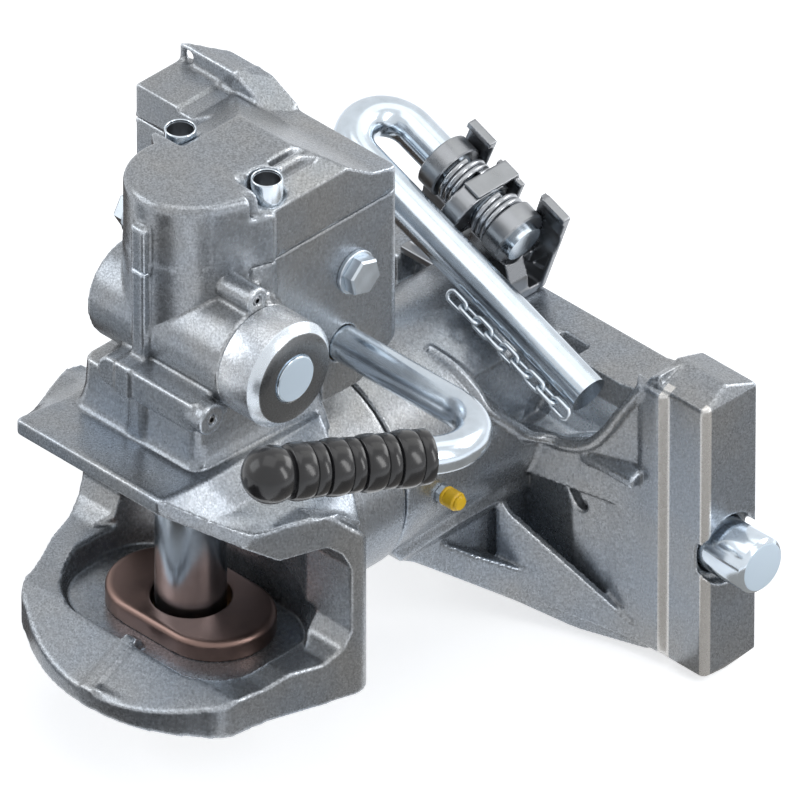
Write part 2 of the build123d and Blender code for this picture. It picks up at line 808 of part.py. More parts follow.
def keel():
    """Pedestal under the bearing boss, its lower part set in, and the flange it stands on."""
    pedestal_side = [(106, 0), (106, -44), (112, -52), (160, -82), (190, -100), (219, -112), (219, 0)]
    pedestal_front = [(-50, 0), (-50, -42), (-41, -54), (-36, -120)]
    pedestal_front += [(-x, z) for x, z in reversed(pedestal_front)]
    pedestal_plan = [(-44, 100), (-50, 145), (-50, 183), (-40, 219)]
    pedestal_plan += [(-x, y) for x, y in reversed(pedestal_plan)]
    pedestal = yz_prism(pedestal_side, -60, 60)
    pedestal &= xz_prism(pedestal_front, 100, 219)
    pedestal &= xy_prism(pedestal_plan, -125, 5)
    return pedestal + flange()


def flange():
    """Sloping bottom flange that spreads from the boss to the foot of the slide plate."""
    side = [(103, -36), (108, -48), (160, -88), (200, -118), (218.5, -118)]
    side += [(218.5, -99), (203, -96), (162, -70), (112, -32)]
    right = [(30, 100), (40, 138), (48, 160), (60, 182), (82, 199), (124, 213), (124, 218.5)]
    left = [(-x, y) for x, y in reversed(right)]
    return yz_prism(side, -130, 130) & xy_prism(right + left, -130, 0)


def keel_rib():
    """Thin rib from the pedestal's right corner slanting down to the plate's foot."""
    start = Vector(45, 181, 0)
    along = (Vector(119, 212.5, 0) - start).normalized()
    length = (Vector(119, 212.5, 0) - start).length
    plane = Plane(origin=start, x_dir=along, z_dir=along.cross(Vector(0, 0, 1)))
    outline = Polyline((0, -40), (0, -100), (length, -114), (length, -106), (8, -52), close=True)
    return extrude(plane * make_face(outline), amount=2.5, both=True)


def lower_web():
    """Front of the slide plate below the tray's band, set back behind it, with a small notch."""
    plan = [(36, 207), (56, 206), (78, 203.6), (118, 213.2), (118, 232), (36, 232)]
    web = xy_prism(plan, -112, -31)
    return web - xz_prism([(73, -33), (79, -33), (87, -42), (84, -46), (80, -44)], 200, 211)


def tongue_step():
    """Raised strip down the tongue's front, with a bevel towards the outer panel."""
    plan = [(112, 218), (116, 212.5), (121, 210.4), (133, 210.4), (139, 214.4), (139, 218)]
    return xy_prism(plan, -114.5, 51)


def carrier_casting():
    """Carrier: bearing boss, tray walls, keel and slide plate with two tongues."""
    body = carrier_web()
    body += bar((0, BOSS_FRONT_Y, 0), (0, BOSS_REAR_Y, 0), SLEEVE_R - 1)
    body -= boss_flats()
    body += keel()
    for part in (lower_web(), keel_rib(), side_wall(), tongue(), tongue_step()):
        body += both_sides(part)
    body -= bar((0, 90, 0), (0, 214, 0), BUSH_R + SEAT)
    body -= bar((0, 205, 0), (0, 260, 0), NUT_R + 3.5)
    for lock in both_sides(lock_bore()):
        body -= lock
    body -= release_pocket()
    body -= bar((50, 124.6, -5), (66, 124.6, -5), 4.0)
    return body


def lock_bore():
    """Bore of the right locking pin, its relief at the mouth and its rod passage."""
    y = PLATE_MID_Y
    bore = bar((75, y, LOCK_Z), (CARRIER_HALF_X + 1, y, LOCK_Z), LOCK_R + RUNNING)
    mouth_relief = bar((CARRIER_HALF_X - 7, y, LOCK_Z), (CARRIER_HALF_X + 1, y, LOCK_Z), 20.5)
    passage = bar((0, y, LOCK_Z), (76, y, LOCK_Z), LOCK_ROD_R + 1)
    return bore + mouth_relief + passage


def release_pocket():
    """Recess in the rear face for the release plate and its travel."""
    top = -33 + RELEASE_LIFT + 2
    low = block((-76, 76), (RELEASE_Y - 0.8, 260), (-80, top))
    stem = block((-52, 4), (RELEASE_Y - 0.8, 260), (-60, 60))
    studs = block((-71, 71), (PLATE_MID_Y - 7, 260), (LOCK_Z - LOCK_STUD_R - 3, LOCK_Z + LOCK_STUD_R + 3))
    return low + stem + studs


def swivel_bush_front():
    return tube((0, BOSS_FRONT_Y + 0.5, 0), (0, 128, 0), BUSH_R, SHANK_R + RUNNING)


def swivel_bush_rear():
    return tube((0, 178, 0), (0, 205, 0), BUSH_R, SHANK_R + RUNNING)


def swivel_washer():
    return tube((0, 208.2, 0), (0, 213, 0), NUT_R + 2, THREAD_R + 0.5)


def swivel_nut():
    """Castle nut on the shank's threaded end."""
    nut = tube((0, 213.2, 0), (0, 238, 0), NUT_R, THREAD_R + RUNNING)
    for angle in range(0, 180, 30):
        slot = block((-NUT_R - 1, NUT_R + 1), (230, 239), (-3.5, 3.5))
        nut -= Rot(0, angle, 0) * slot
    return nut


def grease_nipple():
    """Nipple on the right side of the bearing boss."""
    thread = bar((52, 124.6, -5), (59.5, 124.6, -5), 3.9)
    flange = hexagon_bar((60.05, 124.6, -5), (63, 124.6, -5), 10.5)
    neck_bar = bar((58.5, 124.6, -5), (66, 124.6, -5), 2.8)
    return thread + flange + neck_bar


def grease_cap():
    """Plastic dust cap on the grease nipple."""
    cap = chamfered_bar((63.1, 124.6, -5), (75, 124.6, -5), 5.3, 0.8)
    return cap - bar((62, 124.6, -5), (66.3, 124.6, -5), 2.9)


# Locking pins and release

def locking_pin():
    """Right locking pin with its rod and the stud that rides in the release plate."""
    y = PLATE_MID_Y
    end = CARRIER_HALF_X + LOCK_REACH
    pin = chamfered_bar((CARRIER_HALF_X - 3, y, LOCK_Z), (end, y, LOCK_Z), LOCK_R, 2.3)
    pin &= block((CARRIER_HALF_X, end + 1), (y - 20, y + 20), (LOCK_Z - 20, LOCK_Z + 20))
    pin += bar((LOCK_INNER_X, y, LOCK_Z), (CARRIER_HALF_X, y, LOCK_Z), LOCK_R - 0.2)
    rod = bar((LOCK_STUD_X - 6, y, LOCK_Z), (LOCK_INNER_X + 1, y, LOCK_Z), LOCK_ROD_R)
    stud = bar((LOCK_STUD_X, y, LOCK_Z), (LOCK_STUD_X, RELEASE_Y + RELEASE_T, LOCK_Z), LOCK_STUD_R)
    return pin + rod + stud


def locking_spring():
    """Compression spring behind the right locking pin."""
    length = LOCK_INNER_X - 76.0
    turns = 6
    wire_r = length / turns / 2
    plane = Plane(origin=(75.5, PLATE_MID_Y, LOCK_Z), z_dir=(1, 0, 0))
    return coil_pack(plane, LOCK_ROD_R + 1.5, wire_r, turns)


def beside_pivot(s, height):
    """Point (x, z) at a height square above the release handle's pivot axis."""
    axis = HANDLE_AXIS.normalized()
    point = on_handle(s) + Vector(-axis.Z, 0, axis.X) * height
    return (point.X, point.Z)


def release_plate():
    """Sheet that the handle's cam lifts: its slanted slots draw both locking pins in."""
    y_span = (RELEASE_Y, RELEASE_Y + RELEASE_T)
    left_s = -43.5
    right_s = -24.0
    top = CAM_REST + 0.2
    lower = xz_prism([(-74, -78), (-74, -33), (74, -33), (74, -78)], *y_span)
    stem_low = [(-42, -40), beside_pivot(left_s, -26)]
    stem_high = [beside_pivot(left_s, top), beside_pivot(right_s, top), beside_pivot(right_s, -26), (2, -40)]
    plate = lower + xz_prism(stem_low + stem_high, *y_span)
    plate += release_tab()
    for slot in both_sides(release_slot()):
        plate -= slot
    return plate


def release_tab():
    """Tab bent forwards over the cam, flat where the cam lifts it."""
    half_width = 6.0
    low = CAM_REST + 0.2
    high = low + 2.2
    points = [
        beside_pivot(CAM_S - half_width, low),
        beside_pivot(CAM_S + half_width, low),
        beside_pivot(CAM_S + half_width, high),
        beside_pivot(CAM_S - half_width, high),
    ]
    return xz_prism(points, 221, RELEASE_Y + RELEASE_T)


def release_slot():
    """Slanted slot for the right pin's stud, from rest inwards and down."""
    r = LOCK_STUD_R + 0.3
    low_y = RELEASE_Y - 1
    high_y = RELEASE_Y + RELEASE_T + 1
    start = Vector(LOCK_STUD_X, 0, LOCK_Z)
    end = start + Vector(-LOCK_TRAVEL, 0, -RELEASE_LIFT)
    along = (end - start).normalized()
    side = Vector(along.Z, 0, -along.X) * r
    corners = [start + side, end + side, end - side, start - side]
    slot = xz_prism([(p.X, p.Z) for p in corners], low_y, high_y)
    for point in (start, end):
        slot += bar((point.X, low_y, point.Z), (point.X, high_y, point.Z), r)
    return slot


# Release handle

def release_handle():
    """Tube bent back on itself: a pivot leg in the collars and a longer grip leg."""
    start = on_handle(0)
    elbow = on_handle(HANDLE_ELBOW_S)
    grip_elbow = Vector(elbow.X, GRIP_LEG_Y, elbow.Z)
    grip_end = grip_elbow + HANDLE_AXIS.normalized() * (GRIP_LEG_S - HANDLE_ELBOW_S)
    back = HANDLE_AXIS.normalized() * 0.5
    path = FilletPolyline(start, elbow - back, grip_elbow - back, grip_end, radius=HANDLE_BEND_R)
    section = Plane(origin=path @ 0, z_dir=path % 0) * Circle(HANDLE_R)
    return sweep(section, path=path)


def release_cam():
    """Cam block on the pivot leg; its involute flank lifts the tab evenly with the angle."""
    half_width = 6.0
    steps = 9
    growth = RELEASE_LIFT * HANDLE_AXIS.normalized().X / radians(90)
    flank = []
    for step in range(steps + 1):
        turn = radians(90.0 * step / steps)
        reach = CAM_REST + growth * turn
        y = -reach * sin(turn) - growth * cos(turn)
        z = reach * cos(turn) - growth * sin(turn)
        flank.append((y, z))
    back = [(-20, -14.0), (6, -14.0), (13, -6), (13, 7), (7, CAM_REST)]
    face = handle_plane(CAM_S - half_width) * make_face(Polyline(*flank, *back, close=True))
    cam = extrude(face, amount=2 * half_width)
    return cam - bar(on_handle(CAM_S - 20), on_handle(CAM_S + 20), HANDLE_R + SEAT)


def handle_collars():
    """Two bearing collars of the pivot leg."""
    collars = []
    for s in COLLAR_S:
        start, end = on_handle(s - COLLAR_W / 2), on_handle(s + COLLAR_W / 2)
        collars.append(tube(start, end, COLLAR_R, HANDLE_R + RUNNING))
    return collars


def handle_bracket():
    """Welded bracket under the collars, with an end plate that leans out to the right."""
    y = PLATE_MID_Y
    outline = [(-66, MID_TOP_Z), beside_pivot(-67, -12), beside_pivot(-4, -12), (9, 51), (10, MID_TOP_Z)]
    body = xz_prism(outline, y - 7, y + 7)
    body += block((-66, 10), (y - 13, y + 13), (MID_TOP_Z + 0.01, MID_TOP_Z + 5))
    body += end_plate()
    for s, reach in zip(COLLAR_S, HOOK_REACH):
        body += collar_hook(s, reach)
    for s in COLLAR_S:
        body -= bar(on_handle(s - COLLAR_W / 2 - 0.2), on_handle(s + COLLAR_W / 2 + 0.2), COLLAR_R + 0.02)
    body -= bar(on_handle(-100), on_handle(30), HANDLE_R + 5.5)
    body -= bar(on_handle(CAM_S - 6.3), on_handle(CAM_S + 6.3), 28.5)
    return body


def end_plate():
    """Upright plate behind the free end, with a triangular pocket."""
    rear = PLATE_REAR_Y - 0.2
    corners = [(-10, MID_TOP_Z + 1), (10, MID_TOP_Z + 1), beside_pivot(9, 20), beside_pivot(-11, 20)]
    plate = xz_prism(corners, rear - 4, rear)
    return plate - xz_prism([(3, 52), (17, 65), (12.5, 52)], rear - 5, rear - 1.2)


def collar_hook(s, reach):
    """Strap behind a collar whose top folds a little forwards; it reaches past the collar's middle."""
    start = s + reach - 18
    end = s + reach
    low = COLLAR_R + 0.1
    high = low + 4.0
    rear = PLATE_REAR_Y - 0.2
    strap = [(start, -26), (start, high), (end, high), (end, -26)]
    upright = xz_prism([beside_pivot(*corner) for corner in strap], rear - 2.1, rear)
    top = [(start, low), (start, high), (end, high), (end, low)]
    fold = xz_prism([beside_pivot(*corner) for corner in top], rear - 5.5, rear)
    foot = [(start, -26), (start, -18), (s + 8, -18), (s + 8, -26)]
    sole = xz_prism([beside_pivot(*corner) for corner in foot], PLATE_MID_Y, rear)
    return upright + fold + sole


def torsion_springs():
    """Two coil packs that press the handle down into its tray."""
    packs = []
    for s in (CAM_S - 18.5, CAM_S + 7.5):
        packs.append(coil_pack(Plane(origin=on_handle(s), z_dir=HANDLE_AXIS), HANDLE_R + 0.5, 1.8, 3))
    return packs


def chain_links():
    """Short chain in front of the grip leg, each link turned a quarter from the last."""
    links = 9
    pitch = 10.2
    wire_r = 1.2
    half_w = 3.2
    straight = 6.6
    axis = HANDLE_AXIS.normalized()
    start = on_handle(4.0)
    first = Vector(start.X, GRIP_LEG_Y - 15.2, start.Z - 6.3)
    outer = extrude(SlotCenterToCenter(straight, 2 * (half_w + wire_r)), amount=wire_r, both=True)
    inner = extrude(SlotCenterToCenter(straight, 2 * (half_w - wire_r)), amount=wire_r, both=True)
    ring = outer - inner
    chain = []
    for index in range(links):
        plane = Plane(origin=first + axis * (pitch * index), x_dir=axis, z_dir=(0, 1, 0))
        turn = -111.0 if index % 2 else -21.0
        chain.append(plane * Rot(turn, 0, 0) * ring)
    return chain


PIECES = {
    "carrier_casting": carrier_casting,
    "swivel_bush_front": swivel_bush_front,
    "swivel_bush_rear": swivel_bush_rear,
    "grease_nipple": grease_nipple,
    "grease_cap": grease_cap,
    "handle_bracket": handle_bracket,
    "handle_collars": handle_collars,
    "torsion_springs": torsion_springs,
    "locking_springs": lambda: both_sides(locking_spring()),
    "locking_pin_right": locking_pin,
    "locking_pin_left": lambda: mirror(locking_pin(), Plane.YZ),
    "release_plate": release_plate,
    "release_handle": release_handle,
    "release_cam": release_cam,
    "chain_links": chain_links,
    "jaw_casting": jaw_casting,
    "pin_bush_upper": pin_bush_upper,
    "pin_bush_lower": pin_bush_lower,
    "wear_plate": wear_plate,
    "wear_plate_screws": wear_plate_screws,
    "mechanism_housing": mechanism_housing,
    "housing_cover": housing_cover,
    "cover_screws": cover_screws,
    "cross_end_cap": cross_end_cap,
    "cross_axle": cross_axle,
    "roll_pins": roll_pins,
    "hexagon_plug": hexagon_plug,
    "side_plug": side_plug,
    "lever_bushes": lever_bushes,
    "closing_spring": closing_spring,
    "swivel_washer": swivel_washer,
    "swivel_nut": swivel_nut,
    "coupling_pin": coupling_pin,
    "lift_cross_pin": lift_cross_pin,
    "hand_lever": hand_lever,
    "lever_grip": lever_grip,
    "lift_fork": lift_fork,
    "fork_key": fork_key,
}


def main():
    os.makedirs("parts", exist_ok=True)
    for name, make in PIECES.items():
        shape = make()
        if isinstance(shape, (list, tuple)):
            shape = Compound(children=[Compound(piece.wrapped) for piece in shape])
        export_step(shape, f"parts/{name}.step")
        print(name, round(shape.volume))


main()
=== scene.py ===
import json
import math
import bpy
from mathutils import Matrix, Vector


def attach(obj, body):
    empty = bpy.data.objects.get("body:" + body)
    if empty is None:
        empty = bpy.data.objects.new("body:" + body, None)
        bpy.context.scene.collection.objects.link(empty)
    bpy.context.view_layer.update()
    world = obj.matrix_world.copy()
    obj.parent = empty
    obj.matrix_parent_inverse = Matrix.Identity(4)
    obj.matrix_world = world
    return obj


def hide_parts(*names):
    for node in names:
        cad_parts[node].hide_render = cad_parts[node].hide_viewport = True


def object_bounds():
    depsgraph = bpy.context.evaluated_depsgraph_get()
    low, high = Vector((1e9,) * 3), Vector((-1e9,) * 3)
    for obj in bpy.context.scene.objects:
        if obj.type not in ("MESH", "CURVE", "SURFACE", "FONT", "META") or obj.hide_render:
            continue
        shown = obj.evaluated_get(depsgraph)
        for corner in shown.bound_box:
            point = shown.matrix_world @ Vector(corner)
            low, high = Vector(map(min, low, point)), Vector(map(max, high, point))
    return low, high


bl_info = {
    "name": "Trailer jaw coupling",
    "version": (1, 0, 0),
    "blender": (4, 5, 0),
    "location": "3D View > Sidebar > Coupling",
    "description": "Dresses the packed jaw coupling with cast, turned and chromed surfaces",
    "category": "Object",
}

import bpy
from mathutils import Matrix, Vector

MM = 0.001

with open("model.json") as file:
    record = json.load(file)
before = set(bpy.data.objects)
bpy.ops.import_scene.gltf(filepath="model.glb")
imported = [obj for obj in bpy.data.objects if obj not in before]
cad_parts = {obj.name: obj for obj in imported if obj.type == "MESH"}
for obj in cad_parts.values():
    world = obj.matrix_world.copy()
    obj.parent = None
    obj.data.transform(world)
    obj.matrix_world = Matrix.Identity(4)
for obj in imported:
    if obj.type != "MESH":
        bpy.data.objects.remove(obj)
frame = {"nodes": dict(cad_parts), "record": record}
NODES = frame["nodes"]
NODE_SLOTS = {part["node"]: part["material_slot"] for part in frame["record"]["subparts"]}
CAD_BOX = [list(corner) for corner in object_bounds()]

# Places that the pieces share with the frame, in millimetres
CROSS_Y, CROSS_Z = -5.5, 144.0
PIN_BOSS_Z = 179.4
LEVER_Y, LEVER_Z = 70.0, 109.0
LEVER_CORNER = Vector((172.6, LEVER_Y, LEVER_Z))
GRIP_DIR = Vector((-0.335, -0.927, 0.17)).normalized()
HANDLE_AXIS = Vector((0.927, 0.0, -0.375)).normalized()
HANDLE_END = Vector((13.0, 233.0, 76.0))
HANDLE_ELBOW_S = -106.6
GRIP_LEG_Y = 194.6
GRIP_LEG_S = 92.0
CAM_S = -35.3
COLLAR_PLACES = (-10.0, -60.6)
HANDLE_BEND = 19.2
LOCK_Y, LOCK_Z = 233.0, -42.6
LOCK_FACE_X = 188.6
AXLE_FACE_X = 83.8
JOINT_Z, JOINT_GAP = 187.0, 0.3
COVER_TOP_Z = 230.9
SIDES = (1, -1)

# Skins of the castings: the shares of triangles kept hold each piece under its limit
HEAD_KEPT, CARRIER_KEPT = 0.58, 0.31
CARRIER_GRAIN = 0.85
JOINT_BAND = 2.4
RIM_BEAD_R = 3.3
BORE_R, BORE_START, BORE_LENGTH = 16.9, 112, 60

# The photograph's view: along (-1, 1, -1), from so far that it has almost no perspective
CAMERA_AIM = (0.037, 0.117, 0.0464)
CAMERA_LENS = 1600.0
CAMERA_FAR = 18.52
STUDIO_MIDDLE = (0.0, 0.1, 0.05)

# How far the floor and the cards on it stand below the coupling, and the floor's own glow
FLOOR_DROP, CARD_DROP = 0.6, 0.2
FLOOR_GLOW = 0.64

# Name, place, aim, size in metres and power of each soft box
SOFT_BOXES = (
    ("rear_box", (0.7, 1.7, 1.0), STUDIO_MIDDLE, (1.4, 0.8), 12.0),
    ("top_box", (0.1, -0.1, 1.6), STUDIO_MIDDLE, (1.2, 1.2), 4.0),
    ("left_box", (-1.1, -1.1, 1.1), (0.0, 0.0, 0.05), (0.5, 0.5), 5.0),
    ("right_box", (1.4, 0.35, 0.72), (0.1, 0.0, 0.05), (0.35, 1.1), 6.0),
)
# Name, place, size and tone of each card in the air
SKY_CARDS = (
    ("front_sky", (-1.0, -1.0, 1.05), 1.1, (2.5, 2.55, 2.6)),
    ("ridge_sky", (0.21, 0.92, 1.3), 0.8, (1.7, 1.7, 1.66)),
)
# Name, two corners, turn in degrees and tone of each card on the floor
FLOOR_CARDS = (
    ("right_card", (0.14, -0.12), (0.66, 0.62), 0.0, (0.37, 0.355, 0.335)),
    ("front_card", (0.12, -0.14), (0.8, 0.14), 272.0, (0.05, 0.045, 0.04)),
    ("left_card", (0.12, -0.2), (0.8, 0.2), 168.0, (0.08, 0.065, 0.055)),
    ("near_card", (0.15, -0.1), (0.8, 0.1), 226.0, (0.36, 0.39, 0.42)),
)


class COUPLING_PG_sizes(bpy.types.PropertyGroup):
    """Sizes of the dressed pieces"""

    cast_voxel: bpy.props.FloatProperty(
        name="Cast voxel", description="Grain of the castings' rounded skin", default=1.25 * MM,
        unit="LENGTH"
    )
    sheet_voxel: bpy.props.FloatProperty(
        name="Sheet voxel", description="Grain of the small plates' skin", default=0.8 * MM,
        unit="LENGTH"
    )
    cast_rounding: bpy.props.IntProperty(
        name="Cast rounding", description="Smoothing passes over a casting's edges", default=6,
        min=0, max=20
    )
    round_steps: bpy.props.IntProperty(
        name="Round steps", description="Flats round a turned piece", default=72, min=12, max=128
    )


class COUPLING_PG_colours(bpy.types.PropertyGroup):
    """Colours of the finishes"""

    coat: bpy.props.FloatVectorProperty(
        name="Coat", description="Silver-grey coat of the castings", default=(0.315, 0.335, 0.355),
        size=3, subtype="COLOR"
    )
    steel: bpy.props.FloatVectorProperty(
        name="Steel", description="Turned steel", default=(0.62, 0.68, 0.74), size=3,
        subtype="COLOR"
    )
    chrome: bpy.props.FloatVectorProperty(
        name="Chrome", description="Bright bar", default=(0.60, 0.67, 0.74), size=3, subtype="COLOR"
    )
    dark: bpy.props.FloatVectorProperty(
        name="Dark steel", description="Springs and bracket", default=(0.26, 0.27, 0.285), size=3,
        subtype="COLOR"
    )
    copper: bpy.props.FloatVectorProperty(
        name="Wear plate", description="Copper-brown wear plate", default=(0.23, 0.155, 0.135),
        size=3, subtype="COLOR"
    )
    grip: bpy.props.FloatVectorProperty(
        name="Grip", description="Black moulded grip", default=(0.028, 0.028, 0.031), size=3,
        subtype="COLOR"
    )
    cap: bpy.props.FloatVectorProperty(
        name="Cap", description="Yellow dust cap", default=(0.90, 0.55, 0.01), size=3,
        subtype="COLOR"
    )


def sizes():
    return bpy.context.scene.coupling_sizes


def colours():
    return bpy.context.scene.coupling_colours


# Modelling helpers

def deselect_all():
    if bpy.context.object and bpy.context.object.mode != "OBJECT":
        bpy.ops.object.mode_set(mode="OBJECT")
    bpy.ops.object.select_all(action="DESELECT")


def activate(obj):
    deselect_all()
    obj.select_set(True)
    bpy.context.view_layer.objects.active = obj


def name_piece(name):
    obj = bpy.context.object
    obj.name = name
    obj.data.name = name
    return obj


def apply_place(obj):
    activate(obj)
    bpy.ops.object.transform_apply(location=True, rotation=True, scale=True)


def seat(obj, origin, axis, across=None):
    """Puts a piece made along Z at an origin in millimetres, its Z along an axis."""
    z = Vector(axis).normalized()
    if across is None:
        across = (0, 0, 1) if abs(z.z) < 0.9 else (0, 1, 0)
    x = Vector(across)
    x = (x - z * x.dot(z)).normalized()
    y = z.cross(x)
    rotation = Matrix((x, y, z)).transposed().to_4x4()
    obj.matrix_world = Matrix.Translation(Vector(origin) * MM) @ rotation
    apply_place(obj)


def close_mesh(obj, gap=0.02 * MM):
    """Merges doubles, turns faces outwards and leaves object mode."""
    activate(obj)
    bpy.ops.object.mode_set(mode="EDIT")
    bpy.ops.mesh.select_all(action="SELECT")
    bpy.ops.mesh.remove_doubles(threshold=gap)
    bpy.ops.mesh.normals_make_consistent(inside=False)
    bpy.ops.object.mode_set(mode="OBJECT")


def smooth(obj, degrees=32.0):
    activate(obj)
    bpy.ops.object.shade_smooth_by_angle(angle=math.radians(degrees))


def turned(name, profile, origin, axis, steps=None, across=None, sharp=32.0):
    """Turned piece: rings of (radius, height) in millimetres, each extruded from the last."""
    deselect_all()
    pole = 0.012
    rings = [(max(radius, pole), height) for radius, height in profile]
    radius, height = rings[0]
    bpy.ops.mesh.primitive_circle_add(
        vertices=steps or sizes().round_steps, radius=radius * MM, location=(0, 0, height * MM)
    )
    obj = name_piece(name)
    apply_place(obj)
    bpy.ops.object.mode_set(mode="EDIT")
    bpy.ops.mesh.select_all(action="SELECT")
    for next_radius, next_height in rings[1:]:
        rise = (0, 0, (next_height - height) * MM)
        bpy.ops.mesh.extrude_edges_move(TRANSFORM_OT_translate={"value": rise})
        grow = next_radius / radius
        bpy.ops.transform.resize(value=(grow, grow, 1), center_override=(0, 0, next_height * MM))
        radius, height = next_radius, next_height
    bpy.ops.object.mode_set(mode="OBJECT")
    close_mesh(obj, 0.03 * MM)
    seat(obj, origin, axis, across)
    smooth(obj, sharp)
    return obj


def bevelled(outer, length, bevel, inner=0.0):
    """Profile of a bar or sleeve with bevelled rims."""
    profile = [(inner, 0), (outer - bevel, 0), (outer, bevel)]
    profile += [(outer, length - bevel), (outer - bevel, length), (inner, length)]
    if inner > 0:
        profile.append((inner, 0))
    return profile


def arc_ring(centre_r, centre_h, radius, first, last, steps):
    """Points of an arc in a turned profile, angles in degrees from the outward direction."""
    points = []
    for step in range(steps + 1):
        angle = math.radians(first + (last - first) * step / steps)
        points.append((centre_r + radius * math.cos(angle), centre_h + radius * math.sin(angle)))
    return points


def join_pieces(name, pieces):
    deselect_all()
    for piece in pieces:
        piece.select_set(True)
    bpy.context.view_layer.objects.active = pieces[0]
    bpy.ops.object.join()
    return name_piece(name)


def copy_piece(obj, name):
    """Copy with a mesh of its own."""
    twin = obj.copy()
    twin.data = obj.data.copy()
    twin.name = name
    twin.data.name = name
    bpy.context.collection.objects.link(twin)
    return twin


def mirrored_piece(obj, name):
    """Mirror image across the middle plane."""
    twin = copy_piece(obj, name)
    twin.matrix_world = Matrix.Scale(-1, 4, (1, 0, 0))
    apply_place(twin)
    close_mesh(twin)
    return twin


def prism(name, plan, low, high):
    """Upright block over a plan of corners in millimetres."""
    deselect_all()
    bpy.ops.mesh.primitive_circle_add(vertices=len(plan), radius=10 * MM, fill_type="NGON")
    obj = name_piece(name)
    for vertex, (x, y) in zip(obj.data.vertices, plan):
        vertex.co = (x * MM, y * MM, low * MM)
    bpy.ops.object.mode_set(mode="EDIT")
    bpy.ops.mesh.select_all(action="SELECT")
    bpy.ops.mesh.extrude_region_move(TRANSFORM_OT_translate={"value": (0, 0, (high - low) * MM)})
    bpy.ops.mesh.select_all(action="SELECT")
    bpy.ops.mesh.normals_make_consistent(inside=False)
    bpy.ops.object.mode_set(mode="OBJECT")
    return obj


def bead(name, points, radius):
    """Round bead along a smooth path through points in millimetres."""
    deselect_all()
    bpy.ops.curve.primitive_bezier_curve_add()
    obj = name_piece(name)
    path = obj.data.splines[0].bezier_points
    path.add(len(points) - 2)
    for knot, point in zip(path, points):
        knot.co = Vector(point) * MM
        knot.handle_left_type = knot.handle_right_type = "AUTO"
    obj.data.bevel_depth = radius * MM
    obj.data.bevel_resolution = 4
    obj.data.use_fill_caps = True
    bpy.ops.object.convert(target="MESH")
    obj = bpy.context.object
    close_mesh(obj)
    return obj


def mark(obj, kind, chosen):
    """Selects only the vertices or edges that the test chooses, ready for edit mode."""
    activate(obj)
    bpy.context.tool_settings.mesh_select_mode = (kind == "VERT", kind == "EDGE", False)
    bpy.ops.object.mode_set(mode="EDIT")
    bpy.ops.mesh.select_all(action="DESELECT")
    bpy.ops.object.mode_set(mode="OBJECT")
    corners = obj.data.vertices
    if kind == "VERT":
        for vertex in corners:
            vertex.select = chosen(vertex.co)
    else:
        for edge in obj.data.edges:
            edge.select = all(chosen(corners[index].co) for index in edge.vertices)
    bpy.ops.object.mode_set(mode="EDIT")


def skin_of(node, name, voxel, rounding, added=(), kept=1.0, cut=(), joint=None):
    """Rounded skin over a copy of a frame node and the small forms added to it.

    The tools in cut are taken from the copy first. The band along a joint's level stays sharp,
    and kept is the share of the triangles that stays.
    """
    source = NODES[node]
    piece = bpy.data.objects.new(name, source.data.copy())
    piece.data.name = name
    piece.data.materials.clear()
    bpy.context.collection.objects.link(piece)
    close_mesh(piece, 0.01 * MM)
    for tool in cut:
        activate(piece)
        bite = piece.modifiers.new("bite", "BOOLEAN")
        bite.operation = "DIFFERENCE"
        bite.solver = "EXACT"
        bite.object = tool
        bpy.ops.object.modifier_apply(modifier=bite.name)
        bpy.data.objects.remove(tool)
    if added:
        piece = join_pieces(name, [piece, *added])
    grid = piece.modifiers.new("grid", "REMESH")
    grid.mode = "VOXEL"
    grid.voxel_size = voxel
    bpy.ops.object.modifier_apply(modifier=grid.name)
    if joint:
        mark(piece, "VERT", lambda place: abs(place.z - joint * MM) < JOINT_BAND * MM)
        bpy.ops.object.vertex_group_assign_new()
        bpy.ops.object.mode_set(mode="OBJECT")
    if rounding:
        soft = piece.modifiers.new("soft", "SMOOTH")
        if joint:
            soft.vertex_group = piece.vertex_groups[0].name
            soft.invert_vertex_group = True
        soft.factor = 0.5
        soft.iterations = rounding
        bpy.ops.object.modifier_apply(modifier=soft.name)
    if kept < 1.0:
        fewer = piece.modifiers.new("fewer", "DECIMATE")
        fewer.ratio = kept
        bpy.ops.object.modifier_apply(modifier=fewer.name)
    bpy.ops.object.shade_smooth()
    return piece


def finish_piece(obj, body, slot, *nodes, material=None):
    """Gives a piece its material, its body and the nodes that it stands for."""
    obj.data.materials.clear()
    obj.data.materials.append(material or FINISHES[slot])
    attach(obj, body)
    if nodes:
        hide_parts(*nodes)
    return obj


def handle_point(s):
    """Point on the release handle's pivot axis, s from its free end."""
    return HANDLE_END + HANDLE_AXIS * s


# Finishes

FINISHES = {}


def start_material(name):
    """Adds an empty material to the finishes and returns its node tree."""
    material = bpy.data.materials.new(name)
    FINISHES[name] = material
    material.use_nodes = True
    tree = material.node_tree
    tree.nodes.clear()
    return tree


def wire(tree, kind, inputs=None, **settings):
    """Adds a node; an input given as a socket is linked, any other is its value."""
    made = tree.nodes.new(kind)
    for key, value in settings.items():
        setattr(made, key, value)
    for key, value in (inputs or {}).items():
        if isinstance(value, bpy.types.NodeSocket):
            tree.links.new(value, made.inputs[key])
        else:
            made.inputs[key].default_value = value
    return made


def object_place(tree):
    return wire(tree, "ShaderNodeTexCoord").outputs["Object"]


def noise(tree, place, scale, detail=4.0, roughness=0.6):
    inputs = {"Vector": place, "Scale": scale, "Detail": detail, "Roughness": roughness}
    return wire(tree, "ShaderNodeTexNoise", inputs).outputs["Fac"]


